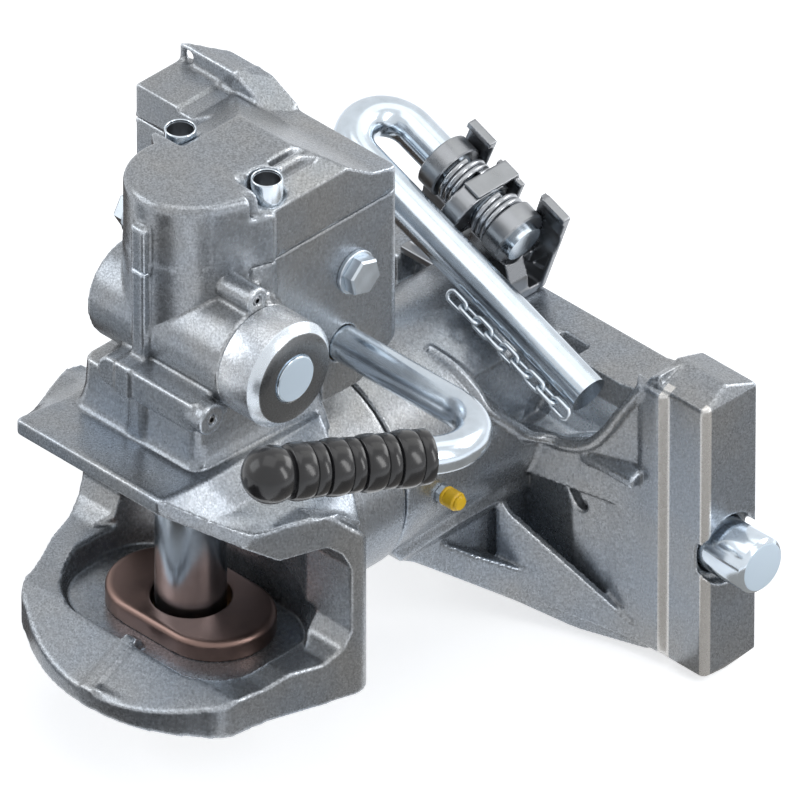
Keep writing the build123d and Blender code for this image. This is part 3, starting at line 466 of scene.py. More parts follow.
def ramp(tree, factor, stops):
    """Colour ramp with (position, colour) stops."""
    made = wire(tree, "ShaderNodeValToRGB", {"Fac": factor})
    band = made.color_ramp
    while len(band.elements) < len(stops):
        band.elements.new(0.5)
    for element, (position, colour) in zip(band.elements, stops):
        element.position = position
        element.color = (*colour, 1.0)
    return made.outputs["Color"]


def spread(tree, factor, low, high, from_low=0.3, from_high=0.7):
    inputs = {"Value": factor, "From Min": from_low, "From Max": from_high}
    inputs.update({"To Min": low, "To Max": high})
    return wire(tree, "ShaderNodeMapRange", inputs).outputs["Result"]


def blend_colours(tree, factor, first, second, mode="MIX"):
    made = tree.nodes.new("ShaderNodeMix")
    made.data_type = "RGBA"
    made.blend_type = mode
    for key, value in ((0, factor), (6, first), (7, second)):
        if isinstance(value, bpy.types.NodeSocket):
            tree.links.new(value, made.inputs[key])
        elif key == 0:
            made.inputs[key].default_value = value
        else:
            made.inputs[key].default_value = (*value, 1.0)
    return made.outputs[2]


def bump(tree, height, strength, distance, under=None):
    inputs = {"Height": height, "Strength": strength, "Distance": distance}
    if under is not None:
        inputs["Normal"] = under
    return wire(tree, "ShaderNodeBump", inputs).outputs["Normal"]


def shaded(tree, **sockets):
    """Principled surface on the output."""
    keys = {
        "colour": "Base Color",
        "metallic": "Metallic",
        "roughness": "Roughness",
        "normal": "Normal",
        "coat": "Coat Weight",
        "coat_roughness": "Coat Roughness",
        "specular": "Specular IOR Level",
    }
    surface = tree.nodes.new("ShaderNodeBsdfPrincipled")
    for key, value in sockets.items():
        socket = surface.inputs[keys[key]]
        if isinstance(value, bpy.types.NodeSocket):
            tree.links.new(value, socket)
        elif key == "colour":
            socket.default_value = (*value, 1.0)
        else:
            socket.default_value = value
    out = tree.nodes.new("ShaderNodeOutputMaterial")
    tree.links.new(surface.outputs["BSDF"], out.inputs["Surface"])
    return surface


def tint(colour, by):
    return tuple(channel * by for channel in colour)


def maths(tree, operation, *values):
    """Math node over sockets and numbers."""
    made = tree.nodes.new("ShaderNodeMath")
    made.operation = operation
    for index, value in enumerate(values):
        if isinstance(value, bpy.types.NodeSocket):
            tree.links.new(value, made.inputs[index])
        else:
            made.inputs[index].default_value = value
    return made.outputs[0]


def axes_of(tree, place):
    """Sockets of a place's X, Y and Z."""
    axes = wire(tree, "ShaderNodeSeparateXYZ", {"Vector": place}).outputs
    return axes["X"], axes["Y"], axes["Z"]


def within(tree, length, middle, half):
    """1 where a length is no further than half from the middle, both in millimetres."""
    return maths(tree, "COMPARE", length, middle * MM, half * MM)


def all_of(tree, *masks):
    """Product of masks."""
    product = masks[0]
    for mask in masks[1:]:
        product = maths(tree, "MULTIPLY", product, mask)
    return product


def bare_bevels(tree, place):
    """1 on the bright bevels down each slide tongue's front."""
    x, y, _ = axes_of(tree, place)
    across = maths(tree, "ABSOLUTE", x)
    inner = within(tree, across, 136.2, 2.7)
    outer = within(tree, across, 163.2, 2.2)
    return all_of(tree, maths(tree, "MAXIMUM", inner, outer), within(tree, y, 213.4, 5.0))


def cap_band(tree, place, middle, half):
    """1 on a band of the cross cap, given by its middle along X and half its width."""
    x, y, z = axes_of(tree, place)
    level, depth = within(tree, z, CROSS_Z, 31.0), within(tree, y, CROSS_Y, 31.0)
    return all_of(tree, within(tree, x, middle, half), level, depth)


def quiet_joint(tree, place):
    """1 along the joint of the housing and its cover, which is hardly seen."""
    x, _, z = axes_of(tree, place)
    return all_of(tree, within(tree, z, JOINT_Z, 3.0), within(tree, x, 44.0, 9.0))


def painted_tray_light(tree, place):
    """Share of painted light in the carrier's trays, behind their slanting wall, where the coat is
    lightened as if lit.
    """
    wall_slant, share = 0.2426, 0.85
    x, y, z = axes_of(tree, place)
    across = maths(tree, "ABSOLUTE", x)
    behind_wall = maths(tree, "MULTIPLY_ADD", across, -wall_slant, y)
    wide = within(tree, across, 84.0, 32.0)
    deep = within(tree, behind_wall, 201.0, 13.5)
    return all_of(tree, wide, deep, within(tree, z, 3.0, 19.0), share)


def casting_paint():
    """Silver-grey coat: fine speckle on a cast skin, painted highlight on edges, painted shade in
    hollows.
    """
    tree = start_material("casting_paint")
    place = object_place(tree)
    base = tuple(colours().coat)
    broad = noise(tree, place, 16.0, 3.0, 0.55)
    speckle = noise(tree, place, 1150.0, 2.0, 0.6)
    grain = noise(tree, place, 300.0, 4.0, 0.65)
    coat = ramp(tree, speckle, [(0.36, tint(base, 0.68)), (0.5, base), (0.64, tint(base, 1.36))])
    dusty = ramp(tree, broad, [(0.35, (0.93, 0.97, 1.03)), (0.65, (1.03, 0.99, 0.95))])
    colour = blend_colours(tree, 1.0, coat, dusty, "MULTIPLY")
    edge = wire(tree, "ShaderNodeNewGeometry").outputs["Pointiness"]
    # Pointiness paints shade into hollows (down to 0.35) and a highlight along edges (up to 2.0).
    tones = ((0.45, 0.35), (0.492, 0.97), (0.52, 1.0), (0.56, 2.0))
    edge_highlight_hollow_shade = ramp(tree, edge, [(position, (tone,) * 3) for position, tone in tones])
    # Along the housing's joint the painted edge highlight and hollow shade give way to an even 0.9.
    edge_highlight_hollow_shade = blend_colours(tree, quiet_joint(tree, place), edge_highlight_hollow_shade, (0.9, 0.9, 0.9))
    colour = blend_colours(tree, 1.0, colour, edge_highlight_hollow_shade, "MULTIPLY")
    # Painted light: the coat in the shaded trays is lightened 2.7 times.
    colour = blend_colours(tree, painted_tray_light(tree, place), colour, tint(base, 2.7))
    bare = maths(tree, "MULTIPLY", bare_bevels(tree, place), 0.85)
    colour = blend_colours(tree, bare, colour, (0.80, 0.78, 0.75))
    bright_rim, dark_seam = cap_band(tree, place, 79.6, 2.4), cap_band(tree, place, 82.6, 0.55)
    colour = blend_colours(tree, bright_rim, colour, (0.72, 0.78, 0.84))
    colour = blend_colours(tree, dark_seam, colour, (0.15, 0.155, 0.16))
    skin = bump(tree, grain, 0.25, 0.35 * MM)
    skin = bump(tree, speckle, 0.2, 0.2 * MM, skin)
    roughness = spread(tree, grain, 0.22, 0.33)
    shaded(tree, colour=colour, metallic=0.7, roughness=roughness, normal=skin)


def turned_steel(name, colour, roughness, lines=900.0, strength=0.12, metallic=1.0):
    """Metal with fine tool marks and small stains."""
    tree = start_material(name)
    place = object_place(tree)
    stain = noise(tree, place, 60.0)
    marks = noise(tree, place, lines, 2.0, 0.5)
    shade = ramp(tree, stain, [(0.3, tint(colour, 0.86)), (0.7, tint(colour, 1.08))])
    shaded(
        tree,
        colour=shade,
        metallic=metallic,
        roughness=spread(tree, stain, roughness * 0.8, roughness * 1.25),
        normal=bump(tree, marks, strength, 0.05 * MM),
    )


def faced_steel():
    """Chromed shank with a pale, finely turned end face."""
    tree = start_material("faced_steel")
    place = object_place(tree)
    across = maths(tree, "ABSOLUTE", axes_of(tree, place)[0])
    pin_face = maths(tree, "GREATER_THAN", across, LOCK_FACE_X * MM)
    face = maths(tree, "MAXIMUM", pin_face, within(tree, across, AXLE_FACE_X, 0.35))
    stain = noise(tree, place, 60.0)
    marks = noise(tree, place, 900.0, 2.0, 0.5)
    chrome = tint(colours().chrome, 1.1)
    shade = ramp(tree, stain, [(0.3, tint(chrome, 0.9)), (0.7, tint(chrome, 1.08))])
    shaded(
        tree,
        colour=blend_colours(tree, face, shade, (0.70, 0.82, 0.92)),
        metallic=spread(tree, face, 0.95, 0.1, 0.0, 1.0),
        roughness=spread(tree, face, 0.16, 0.4, 0.0, 1.0),
        normal=bump(tree, marks, 0.08, 0.05 * MM),
    )


def plain_gloss(name, colour, roughness, coat=0.0, specular=0.5):
    """Moulded rubber or plastic with a faint orange-peel skin."""
    tree = start_material(name)
    place = object_place(tree)
    peel = noise(tree, place, 500.0, 2.0, 0.5)
    cloud = noise(tree, place, 45.0, 3.0, 0.6)
    shade = ramp(tree, cloud, [(0.3, tint(colour, 0.85)), (0.7, tint(colour, 1.2))])
    shaded(
        tree,
        colour=shade,
        roughness=spread(tree, cloud, roughness * 0.8, roughness * 1.3),
        normal=bump(tree, peel, 0.08, 0.1 * MM),
        coat=coat,
        coat_roughness=0.16,
        specular=specular,
    )


def make_finishes():
    tones = colours()
    casting_paint()
    turned_steel("machined_steel", tuple(tones.steel), 0.24, metallic=0.55)
    turned_steel("polished_steel", tint(tones.steel, 1.15), 0.20, 500.0, 0.06)
    turned_steel("chromed_steel", tuple(tones.chrome), 0.19, 300.0, 0.03)
    turned_steel("zinc_steel", tint(tones.steel, 0.98), 0.32)
    turned_steel("dark_steel", tint(tones.dark, 1.1), 0.30, 700.0, 0.2)
    turned_steel("spring_steel", tint(tones.dark, 1.5), 0.26, 700.0, 0.1)
    turned_steel("copper_steel", tuple(tones.copper), 0.38, 600.0, 0.2)
    turned_steel("bearing_bronze", (0.45, 0.32, 0.16), 0.35)
    faced_steel()
    plain_gloss("black_rubber", tint(tones.grip, 0.6), 0.24, 0.5, 0.3)
    plain_gloss("yellow_plastic", tuple(tones.cap), 0.34)


def dress_frame_nodes():
    """Finishes on the frame's own nodes, which show where no piece replaces them."""
    for name, node in NODES.items():
        finish = FINISHES[NODE_SLOTS[name]]
        if not node.material_slots:
            node.data.materials.append(finish)
        for place in node.material_slots:
            place.material = finish


# Turned pieces

def make_pin():
    """Coupling pin with a bevelled foot."""
    profile = [(0, -62), (13, -62), (14.6, -61.6), (18.6, -58.2), (19, -57.4)]
    profile += [(19, 121.5), (17.6, 123), (0, 123)]
    pin = turned("drop_pin", profile, (0, 0, 0), (0, 0, 1), 96)
    finish_piece(pin, "pin", "polished_steel", "coupling_pin")


def make_cross_cap():
    """Bevelled end cap of the cross cylinder and the axle in it."""
    profile = [(13.05, 0.15), (29.7, 0.15), (30, 0.45), (30, 21.2), (29.8, 21.6)]
    profile += [(25.2, 26.35), (24.9, 26.5), (14.2, 26.5), (13.1, 25.6), (13.05, 0.15)]
    cap = turned("cross_cap", profile, (56, CROSS_Y, CROSS_Z), (1, 0, 0), 96)
    finish_piece(cap, "head", "casting_paint", "cross_end_cap")
    start = (30.5, CROSS_Y, CROSS_Z)
    disc = turned("cross_axle_disc", bevelled(13, 53.4, 0.7), start, (1, 0, 0))
    faced = FINISHES["faced_steel"]
    finish_piece(disc, "head", "machined_steel", "cross_axle", material=faced)


def make_locking_pins():
    """Locking pins: turned ends, rods and the studs in the release plate."""
    profile = [(0, 74), (12.8, 74), (13.6, 73.7), (15.7, 71.7), (16, 71.2), (16, 50.1)]
    profile += [(15.8, 50), (15.8, 0.4), (15.4, 0), (6, 0), (6, -54.5), (5.4, -55), (0, -55)]
    right = turned("lock_pin_body_right", profile, (115, LOCK_Y, LOCK_Z), (1, 0, 0))
    stud = turned("lock_stud_right", bevelled(4, 18.4, 0.5), (66, LOCK_Y, LOCK_Z), (0, 1, 0), 32)
    pair = join_pieces("lock_pin_right", [right, stud])
    faced = FINISHES["faced_steel"]
    left = mirrored_piece(pair, "lock_pin_left")
    finish_piece(left, "lock_left", "machined_steel", "locking_pin_left", material=faced)
    finish_piece(pair, "lock_right", "machined_steel", "locking_pin_right", material=faced)


def plug(name, place, axis, ring, hexagon, across, node):
    """Hexagon on a ring, both turned, the hexagon in six steps."""
    base = turned("plug_ring", ring, place, axis, 48)
    head = turned("plug_hexagon", hexagon, place, axis, 6, across, 10.0)
    finish_piece(join_pieces(name, [base, head]), "head", "zinc_steel", node)


def make_plugs():
    """Hexagon plug on its ring at the right wall, and the left side's plug."""
    ring = [(8, -8), (8, 0), (12.1, 0), (12.5, 0.4), (12.5, 2.2), (12.1, 2.6), (0, 2.6)]
    hexagon = [(0, 2.5), (10.6, 2.5), (11, 2.9), (11, 8.3), (9.9, 9.5), (0, 9.5)]
    plug("right_plug", (42.5, 77.6, 151), (1, 0, 0), ring, hexagon, (0, 0.3, 1), "hexagon_plug")
    ring = [(8, -7.5), (8, 0), (12.6, 0), (13, 0.4), (13, 4.6), (12.5, 5), (0, 5)]
    hexagon = [(0, 5), (10.7, 5), (11, 5.4), (11, 12), (10, 13), (0, 13)]
    plug("left_plug", (-100, 66, 121), (-1, 0, 0), ring, hexagon, None, "side_plug")


def make_cover_screws():
    """Raised collars of the two cover screws, each with a dark liner in its hollow top as painted
    shade.
    """
    profile = [(0, 152), (4, 152), (4, 217), (8.1, 217), (8.5, 217.4), (8.5, 229.8)]
    profile += [(8.3, 230.4), (8.1, 230.6), (7.7, 230.6), (7.45, 230.3), (7.4, 229.8)]
    profile += [(7.4, 219), (0, 219)]
    # Painted shade: a thin dark liner over the floor and wall of each screw's hollow.
    shade_liner = [(0, 219.1), (7.35, 219.1), (7.35, 229.2), (7.1, 229.2), (7.1, 219.5), (0, 219.5)]
    screws, shade_liners = [], []
    for index, x in enumerate((-31.8, 31.8)):
        screws.append(turned(f"cover_screw_{index}", profile, (x, 25, 0), (0, 0, 1), 48))
        shade_liners.append(turned(f"screw_shade_liner_{index}", shade_liner, (x, 25, 0), (0, 0, 1), 48))
    pair = join_pieces("cover_screw_pair", screws)
    finish_piece(pair, "head", "polished_steel", "cover_screws")
    finish_piece(join_pieces("cover_screw_shade_liners", shade_liners), "head", "dark_steel")


def make_roll_pins():
    """Rolled spring pins at the two bosses and the end cap."""
    places = (
        ((44, CROSS_Y, PIN_BOSS_Z), (1, 0, 0), 11.4),
        ((46, -41, 123), (1, 0, 0), 11.5),
        ((50, CROSS_Y, CROSS_Z + 13.5), (0, 0, 1), 15.5),
    )
    pins = []
    radius, rim, bore = 2.5, 0.3, 1.4
    for index, (origin, axis, length) in enumerate(places):
        profile = bevelled(radius, length, rim, bore)
        pins.append(turned(f"roll_pin_{index}", profile, origin, axis, 32))
    finish_piece(join_pieces("roll_pin_set", pins), "head", "dark_steel", "roll_pins")


def make_grease_point():
    """Ribbed dust cap of the grease nipple."""
    profile = [(0, 0), (4.9, 0), (5.3, 0.5), (5.3, 1.5), (4.9, 2.0), (4.9, 2.6), (5.3, 3.1)]
    profile += [(5.3, 8.6), (4.9, 9.2), (4.3, 9.6), (4.3, 10.6), (3.6, 11.5), (0, 11.9)]
    cap = turned("dust_cap", profile, (63.1, 124.6, -5), (1, 0, 0), 40)
    finish_piece(cap, "carrier", "yellow_plastic", "grease_cap")


def make_collars():
    """Bearing collars of the release handle."""
    radius, width, rim, bore = 16.5, 12, 0.8, 11.06
    profile = bevelled(radius, width, rim, bore)
    rings = []
    for index, s in enumerate(COLLAR_PLACES):
        start = handle_point(s - width / 2)
        rings.append(turned(f"collar_{index}", profile, start, HANDLE_AXIS, 64))
    collars = join_pieces("pivot_collars", rings)
    finish_piece(collars, "carrier", "dark_steel", "handle_collars")


# Bent bars

def bent_bar(name, start, heading, legs, radius, steps=48):
    """Round bar: a ring is extruded along each straight leg and spun round each bend.

    A leg is its length and bend radius in millimetres, its turn in degrees and its bend axis;
    the last three are None for a leg that no bend follows.
    """
    deselect_all()
    bpy.ops.mesh.primitive_circle_add(vertices=steps, radius=radius * MM)
    obj = name_piece(name)
    heading = Vector(heading).normalized()
    seat(obj, start, heading)
    bpy.ops.object.mode_set(mode="EDIT")
    bpy.ops.mesh.select_all(action="SELECT")
    point = Vector(start)
    for length, bend, turn, axis in legs:
        bpy.ops.mesh.extrude_edges_move(TRANSFORM_OT_translate={"value": heading * length * MM})
        point += heading * length
        if bend:
            axis = Vector(axis).normalized()
            centre = point + axis.cross(heading) * bend
            angle = math.radians(turn)
            parts = max(8, int(turn / 4))
            bpy.ops.mesh.spin(steps=parts, angle=-angle, center=centre * MM, axis=axis)
            rotation = Matrix.Rotation(angle, 3, axis)
            point = centre + rotation @ (point - centre)
            heading = rotation @ heading
    bpy.ops.object.mode_set(mode="OBJECT")
    return obj


def close_ends(obj):
    """Fills a bar's open ends."""
    activate(obj)
    bpy.ops.object.mode_set(mode="EDIT")
    bpy.ops.mesh.select_all(action="DESELECT")
    bpy.ops.mesh.select_mode(type="EDGE")
    bpy.ops.mesh.select_non_manifold()
    bpy.ops.mesh.edge_face_add()
    bpy.ops.mesh.select_all(action="SELECT")
    bpy.ops.mesh.normals_make_consistent(inside=False)
    bpy.ops.object.mode_set(mode="OBJECT")
    smooth(obj, 40)


def make_lever():
    """Bent hand lever."""
    radius, bend, grip_leg, inner_end = 10.0, 35.0, 128.0, -57.0
    start = Vector((inner_end, LEVER_Y, LEVER_Z))
    along = Vector((1, 0, 0))
    turn = math.degrees(along.angle(GRIP_DIR))
    tangent = bend * math.tan(math.radians(turn / 2))
    first = (LEVER_CORNER - start).length - tangent
    normal = along.cross(GRIP_DIR).normalized()
    legs = [(first, bend, turn, normal), (grip_leg - tangent, None, None, None)]
    lever = bent_bar("lever_bar", start, along, legs, radius)
    close_ends(lever)
    finish_piece(lever, "lever", "chromed_steel", "hand_lever")


def make_grip():
    """Ribbed grip with a ball end."""
    start, pitch, ridges = 54.0, 20.5, 4
    groove_r, ridge_r, band_r = 12.6, 15.5, 14.7
    ridge_middle, ridge_half, ridge_steps = 14.0, 6.2, 12
    foot_r = groove_r + 0.3
    profile = [(10.1, start), (11.8, start), (12.4, start + 0.5)]
    for ridge in range(ridges):
        low = start + ridge * pitch
        profile += [(band_r - 0.5, low + 0.9), (band_r, low + 1.7), (band_r, low + 7.4)]
        for step in range(ridge_steps + 1):
            angle = math.pi * (0.06 + 0.94 * step / ridge_steps)
            height = low + ridge_middle - ridge_half * math.cos(angle)
            profile.append((foot_r + (ridge_r - foot_r) * math.sin(angle) ** 0.6, height))
        profile.append((groove_r - 0.1, low + pitch))
    ball = start + ridges * pitch + 9.0
    profile += arc_ring(0, ball, ridge_r, -34, 90, 18)
    grip = turned("ribbed_grip", profile, LEVER_CORNER, GRIP_DIR, 64, sharp=60.0)
    finish_piece(grip, "lever", "black_rubber", "lever_grip")


def make_handle():
    """Release handle, bent back on itself."""
    start, radius = handle_point(0), 11.0
    straight = -HANDLE_ELBOW_S - HANDLE_BEND
    grip_leg = GRIP_LEG_S - HANDLE_ELBOW_S - HANDLE_BEND
    heading = -HANDLE_AXIS
    side = Vector((0, -1, 0))
    normal = heading.cross(side).normalized()
    legs = [(straight, HANDLE_BEND, 180.0, normal), (grip_leg, None, None, None)]
    handle = bent_bar("folding_handle", start, heading, legs, radius)
    close_ends(handle)
    finish_piece(handle, "handle", "chromed_steel", "release_handle")


# Springs and chain

def coil(name, origin, axis, radius, wire_r, pitch, turns):
    """Round wire wound by a Screw modifier."""
    wire_flats, turn_steps = 14, 40
    deselect_all()
    bpy.ops.mesh.primitive_circle_add(
        vertices=wire_flats, radius=wire_r * MM, location=(radius * MM, 0, 0),
        rotation=(math.pi / 2, 0, 0)
    )
    obj = name_piece(name)
    apply_place(obj)
    wind = obj.modifiers.new("wind", "SCREW")
    wind.axis = "Z"
    wind.screw_offset = pitch * MM
    wind.iterations = turns
    wind.steps = turn_steps
    wind.render_steps = turn_steps
    wind.use_merge_vertices = True
    bpy.ops.object.modifier_apply(modifier=wind.name)
    seat(obj, origin, axis)
    close_ends(obj)
    return obj


def make_springs():
    """Coil packs of the release handle."""
    radius, wire_r, pitch, turns = 13.3, 1.75, 3.55, 3
    coils = []
    for index, s in enumerate((CAM_S - 18.5, CAM_S + 7.5)):
        start = handle_point(s + 1.8)
        coils.append(coil(f"coil_{index}", start, HANDLE_AXIS, radius, wire_r, pitch, turns))
    springs = join_pieces("torsion_coils", coils)
    finish_piece(springs, "carrier", "spring_steel", "torsion_springs")


def make_chain():
    """Links of the chain, each turned a quarter from the last."""
    links, pitch, straight = 9, 10.2, 6.6
    forward, below = 15.2, 6.3
    turns = (-21.0, -111.0)
    deselect_all()
    bpy.ops.mesh.primitive_torus_add(
        major_radius=3.2 * MM, minor_radius=1.2 * MM, major_segments=28, minor_segments=12
    )
    pattern = name_piece("link_pattern")
    for side in SIDES:
        mark(pattern, "VERT", lambda place: place.x * side > 0.001 * MM)
        bpy.ops.transform.translate(value=(side * straight / 2 * MM, 0, 0))
        bpy.ops.object.mode_set(mode="OBJECT")
    smooth(pattern, 60)
    start = handle_point(4)
    first = Vector((start.x, GRIP_LEG_Y - forward, start.z - below))
    down = Vector((-0.375, 0, -0.927)).normalized()
    chain = []
    for index in range(links):
        link = copy_piece(pattern, f"link_{index}")
        turn = math.radians(turns[index % 2])
        width = down * math.cos(turn) + Vector((0, 1, 0)) * math.sin(turn)
        seat(link, first + HANDLE_AXIS * pitch * index, HANDLE_AXIS.cross(width), HANDLE_AXIS)
        chain.append(link)
    bpy.data.objects.remove(pattern)
    finish_piece(join_pieces("safety_chain", chain), "handle", "zinc_steel", "chain_links")


# Plates and castings

def make_plates():
    """Bracket, release plate, cam, castle nut and wear plate, with softened edges."""
    voxel, rounding = sizes().sheet_voxel, 2
    for node, name, body in (
        ("handle_bracket", "bracket_plates", "carrier"),
        ("release_plate", "slotted_plate", "plate"),
        ("release_cam", "cam_block", "handle"),
        ("swivel_nut", "castle_nut", "head"),
        ("wear_plate", "seat_plate", "head"),
    ):
        piece = skin_of(node, name, voxel, rounding)
        finish_piece(piece, body, NODE_SLOTS[node], node)


def nose_skirt():
    """Front of the cover, drawn down over the joint to the cross cylinder."""
    profile = [(30, 150), (34.7, 150), (34.7, 192), (30, 192), (30, 150)]
    skirt = turned("nose_skirt", profile, (0, 0, 0), (0, 0, 1), 128)
    activate(skirt)
    bpy.ops.object.mode_set(mode="EDIT")
    bpy.ops.mesh.select_all(action="SELECT")
    bpy.ops.mesh.bisect(
        plane_co=(0, 4 * MM, 0), plane_no=(0, 1, 0), use_fill=True, clear_outer=True
    )
    bpy.ops.object.mode_set(mode="OBJECT")
    close_mesh(skirt)
    return skirt


def flank_nose():
    """Slanting right flank beside the round nose, its upper edge rounded like the nose's."""
    plan = [(27, -18), (32.2, -14), (40, 6), (27, 6)]
    flank = prism("flank_nose", plan, 150, COVER_TOP_Z)
    mark(flank, "EDGE", lambda place: place.z > (COVER_TOP_Z - 1) * MM and place.x > 30 * MM)
    bpy.ops.mesh.bevel(offset=5 * MM, segments=5, affect="EDGES")
    bpy.ops.object.mode_set(mode="OBJECT")
    close_mesh(flank)
    return flank


def nose_fillet():
    """Tool that keeps the cover's upper edge round the nose to its 5 mm rounding."""
    profile = [(29.7, 233), (36.5, 233), (36.5, 226)]
    profile += arc_ring(29.7, 226, 5.0, 0, 90, 6) + [(29.7, 233)]
    tool = turned("nose_fillet", profile, (0, 0, 0), (0, 0, 1), 128)
    activate(tool)
    bpy.ops.object.mode_set(mode="EDIT")
    for across in ((14.0, 32.2, 0.0), (0.0, 1.0, 0.0)):
        bpy.ops.mesh.select_all(action="SELECT")
        bpy.ops.mesh.bisect(plane_co=(0, 0, 0), plane_no=across, use_fill=True, clear_outer=True)
    bpy.ops.object.mode_set(mode="OBJECT")
    close_mesh(tool)
    return tool


def carrier_forms():
    """Bead along each tray's rim and up the boss, and the strip at each web's outer edge."""
    rim = [(23, 151, 55), (37, 157, 47), (47.7, 161.5, 36.2), (54.3, 164.5, 25.4)]
    rim += [(58, 174, 15), (60, 188, 0), (66.4, 199, -5), (75.4, 201, -5)]
    rim += [(88.7, 204, 0.5), (99, 206.5, 12.3), (110, 209.3, 31), (121, 212, 49)]
    web_edge = [(98, 208.4), (120, 210.5), (120, 215), (98, 215)]
    forms = []
    for side in SIDES:
        forms.append(bead("rim_bead", [(x * side, y, z) for x, y, z in rim], RIM_BEAD_R))
        forms.append(prism("web_edge", [(x * side, y) for x, y in web_edge], -111, -12))
    return forms


def bore_tools():
    """Tools that give each locking pin a little room in the carrier's skin."""
    sleeve = [(0, 0), (BORE_R, 0), (BORE_R, BORE_LENGTH), (0, BORE_LENGTH)]
    tools = []
    for side in SIDES:
        place = (BORE_START * side, LOCK_Y, LOCK_Z)
        tools.append(turned("bore_tool", sleeve, place, (side, 0, 0), 64))
    return tools


def make_castings():
    """Rounded skins of the four castings."""
    voxel, rounding = sizes().cast_voxel, sizes().cast_rounding
    low_joint = JOINT_Z - JOINT_GAP
    rear_flank = [(30, 5), (39.7, 5), (44.9, 19), (30, 19)]
    cover_forms = [nose_skirt(), flank_nose(), prism("flank_top", rear_flank, JOINT_Z, 217)]
    housing_forms = [prism("flank_low", rear_flank, 132, low_joint)]
    on_carrier = carrier_forms()
    bores = bore_tools()
    for node, name, body, added, cut, joint in (
        ("jaw_casting", "cast_jaw", "head", (), (), None),
        ("mechanism_housing", "cast_housing", "head", housing_forms, (), low_joint),
        ("housing_cover", "cast_cover", "head", cover_forms, (nose_fillet(),), JOINT_Z),
        ("carrier_casting", "cast_carrier", "carrier", on_carrier, bores, None),
    ):
        on_head = body == "head"
        grain = voxel if on_head else voxel * CARRIER_GRAIN
        kept = HEAD_KEPT if on_head else CARRIER_KEPT
        piece = skin_of(node, name, grain, rounding, added, kept, cut, joint)
        finish_piece(piece, body, "casting_paint", node)


# Stage

def soft_box(name, place, aim, size, power):
    deselect_all()
    bpy.ops.object.light_add(type="AREA", location=place)
    lamp = bpy.context.object
    lamp.name = name
    lamp.data.shape = "RECTANGLE"
    lamp.data.size, lamp.data.size_y = size
    lamp.data.energy = power
    lamp.rotation_mode = "QUATERNION"
    lamp.rotation_quaternion = (Vector(aim) - Vector(place)).to_track_quat("-Z", "Y")


def backdrop_rays(tree):
    """1 for the rays that see the white backdrop: the camera's, and those of metal and glass."""
    rays = wire(tree, "ShaderNodeLightPath")
    seen = maths(tree, "MAXIMUM", rays.outputs["Is Camera Ray"], rays.outputs["Is Glossy Ray"])
    return maths(tree, "MAXIMUM", seen, rays.outputs["Is Transmission Ray"])


def make_world():
    world = bpy.data.worlds.new("studio")
    bpy.context.scene.world = world
    world.use_nodes = True
    tree = world.node_tree
    tree.nodes.clear()
    sky = {"Color": (0.80, 0.86, 0.95, 1.0), "Strength": 0.34}
    studio = wire(tree, "ShaderNodeBackground", sky)
    backdrop = {"Color": (1.0, 1.0, 1.0, 1.0), "Strength": 1.0}
    white = wire(tree, "ShaderNodeBackground", backdrop)
    mix = wire(tree, "ShaderNodeMixShader", {"Fac": backdrop_rays(tree)})
    tree.links.new(studio.outputs[0], mix.inputs[1])
    tree.links.new(white.outputs[0], mix.inputs[2])
    out = wire(tree, "ShaderNodeOutputWorld")
    tree.links.new(mix.outputs[0], out.inputs["Surface"])


def make_floor():
    """Pale floor that shows white where it is lit and keeps the shadow."""
    deselect_all()
    level = CAD_BOX[0][2] - FLOOR_DROP * MM
    bpy.ops.mesh.primitive_plane_add(size=8.0, location=(0.0, 0.1, level))
    floor = name_piece("studio_floor")
    apply_place(floor)
    tree = start_material("pale_floor")
    place = object_place(tree)
    stops = [(0.2, (0.90, 0.905, 0.91)), (0.8, (0.92, 0.925, 0.93))]
    shade = ramp(tree, noise(tree, place, 3.0), stops)
    surface = shaded(tree, colour=shade, roughness=0.9, specular=0.1)
    glow = maths(tree, "MULTIPLY", backdrop_rays(tree), FLOOR_GLOW)
    tree.links.new(glow, surface.inputs["Emission Strength"])
    surface.inputs["Emission Color"].default_value = (1.0, 1.0, 1.0, 1.0)
    floor.data.materials.append(FINISHES["pale_floor"])


def gloss_only(card, tone):
    """Makes a card of the stage glow evenly, for gloss alone."""
    tree = start_material(card.name)
    glow = wire(tree, "ShaderNodeEmission", {"Color": (*tone, 1.0), "Strength": 1.0})
    out = wire(tree, "ShaderNodeOutputMaterial")
    tree.links.new(glow.outputs[0], out.inputs["Surface"])
    card.data.materials.append(FINISHES[card.name])
    card.visible_camera = False
    card.visible_diffuse = False
    card.visible_shadow = False


def floor_card(name, near, far, turn, tone):
    """Grey card on the floor that only gloss sees; it gives bright metal its darker streaks."""
    deselect_all()
    bpy.ops.mesh.primitive_plane_add(size=1.0)
    card = name_piece(name)
    card.scale = (far[0] - near[0], far[1] - near[1], 1.0)
    card.location = ((near[0] + far[0]) / 2, (near[1] + far[1]) / 2, 0.0)
    apply_place(card)
    card.rotation_euler = (0.0, 0.0, math.radians(turn))
    card.location = (0.0, 0.0, CAD_BOX[0][2] - CARD_DROP * MM)
    apply_place(card)
    gloss_only(card, tone)


def sky_card(name, place, size, tone):
    """Bright card in the air that only gloss sees; it lights the rounded upper edges."""
    deselect_all()
    bpy.ops.mesh.primitive_plane_add(size=size, location=place)
    card = name_piece(name)
    card.rotation_mode = "QUATERNION"
    card.rotation_quaternion = (Vector(STUDIO_MIDDLE) - Vector(place)).to_track_quat("Z", "Y")
    apply_place(card)
    gloss_only(card, tone)


def make_lights():
    """Soft boxes, and the cards that only gloss sees."""
    for name, place, aim, size, power in SOFT_BOXES:
        soft_box(name, place, aim, size, power)
    for name, place, size, tone in SKY_CARDS:
        sky_card(name, place, size, tone)
    for name, near, far, turn, tone in FLOOR_CARDS:
        floor_card(name, near, far, turn, tone)


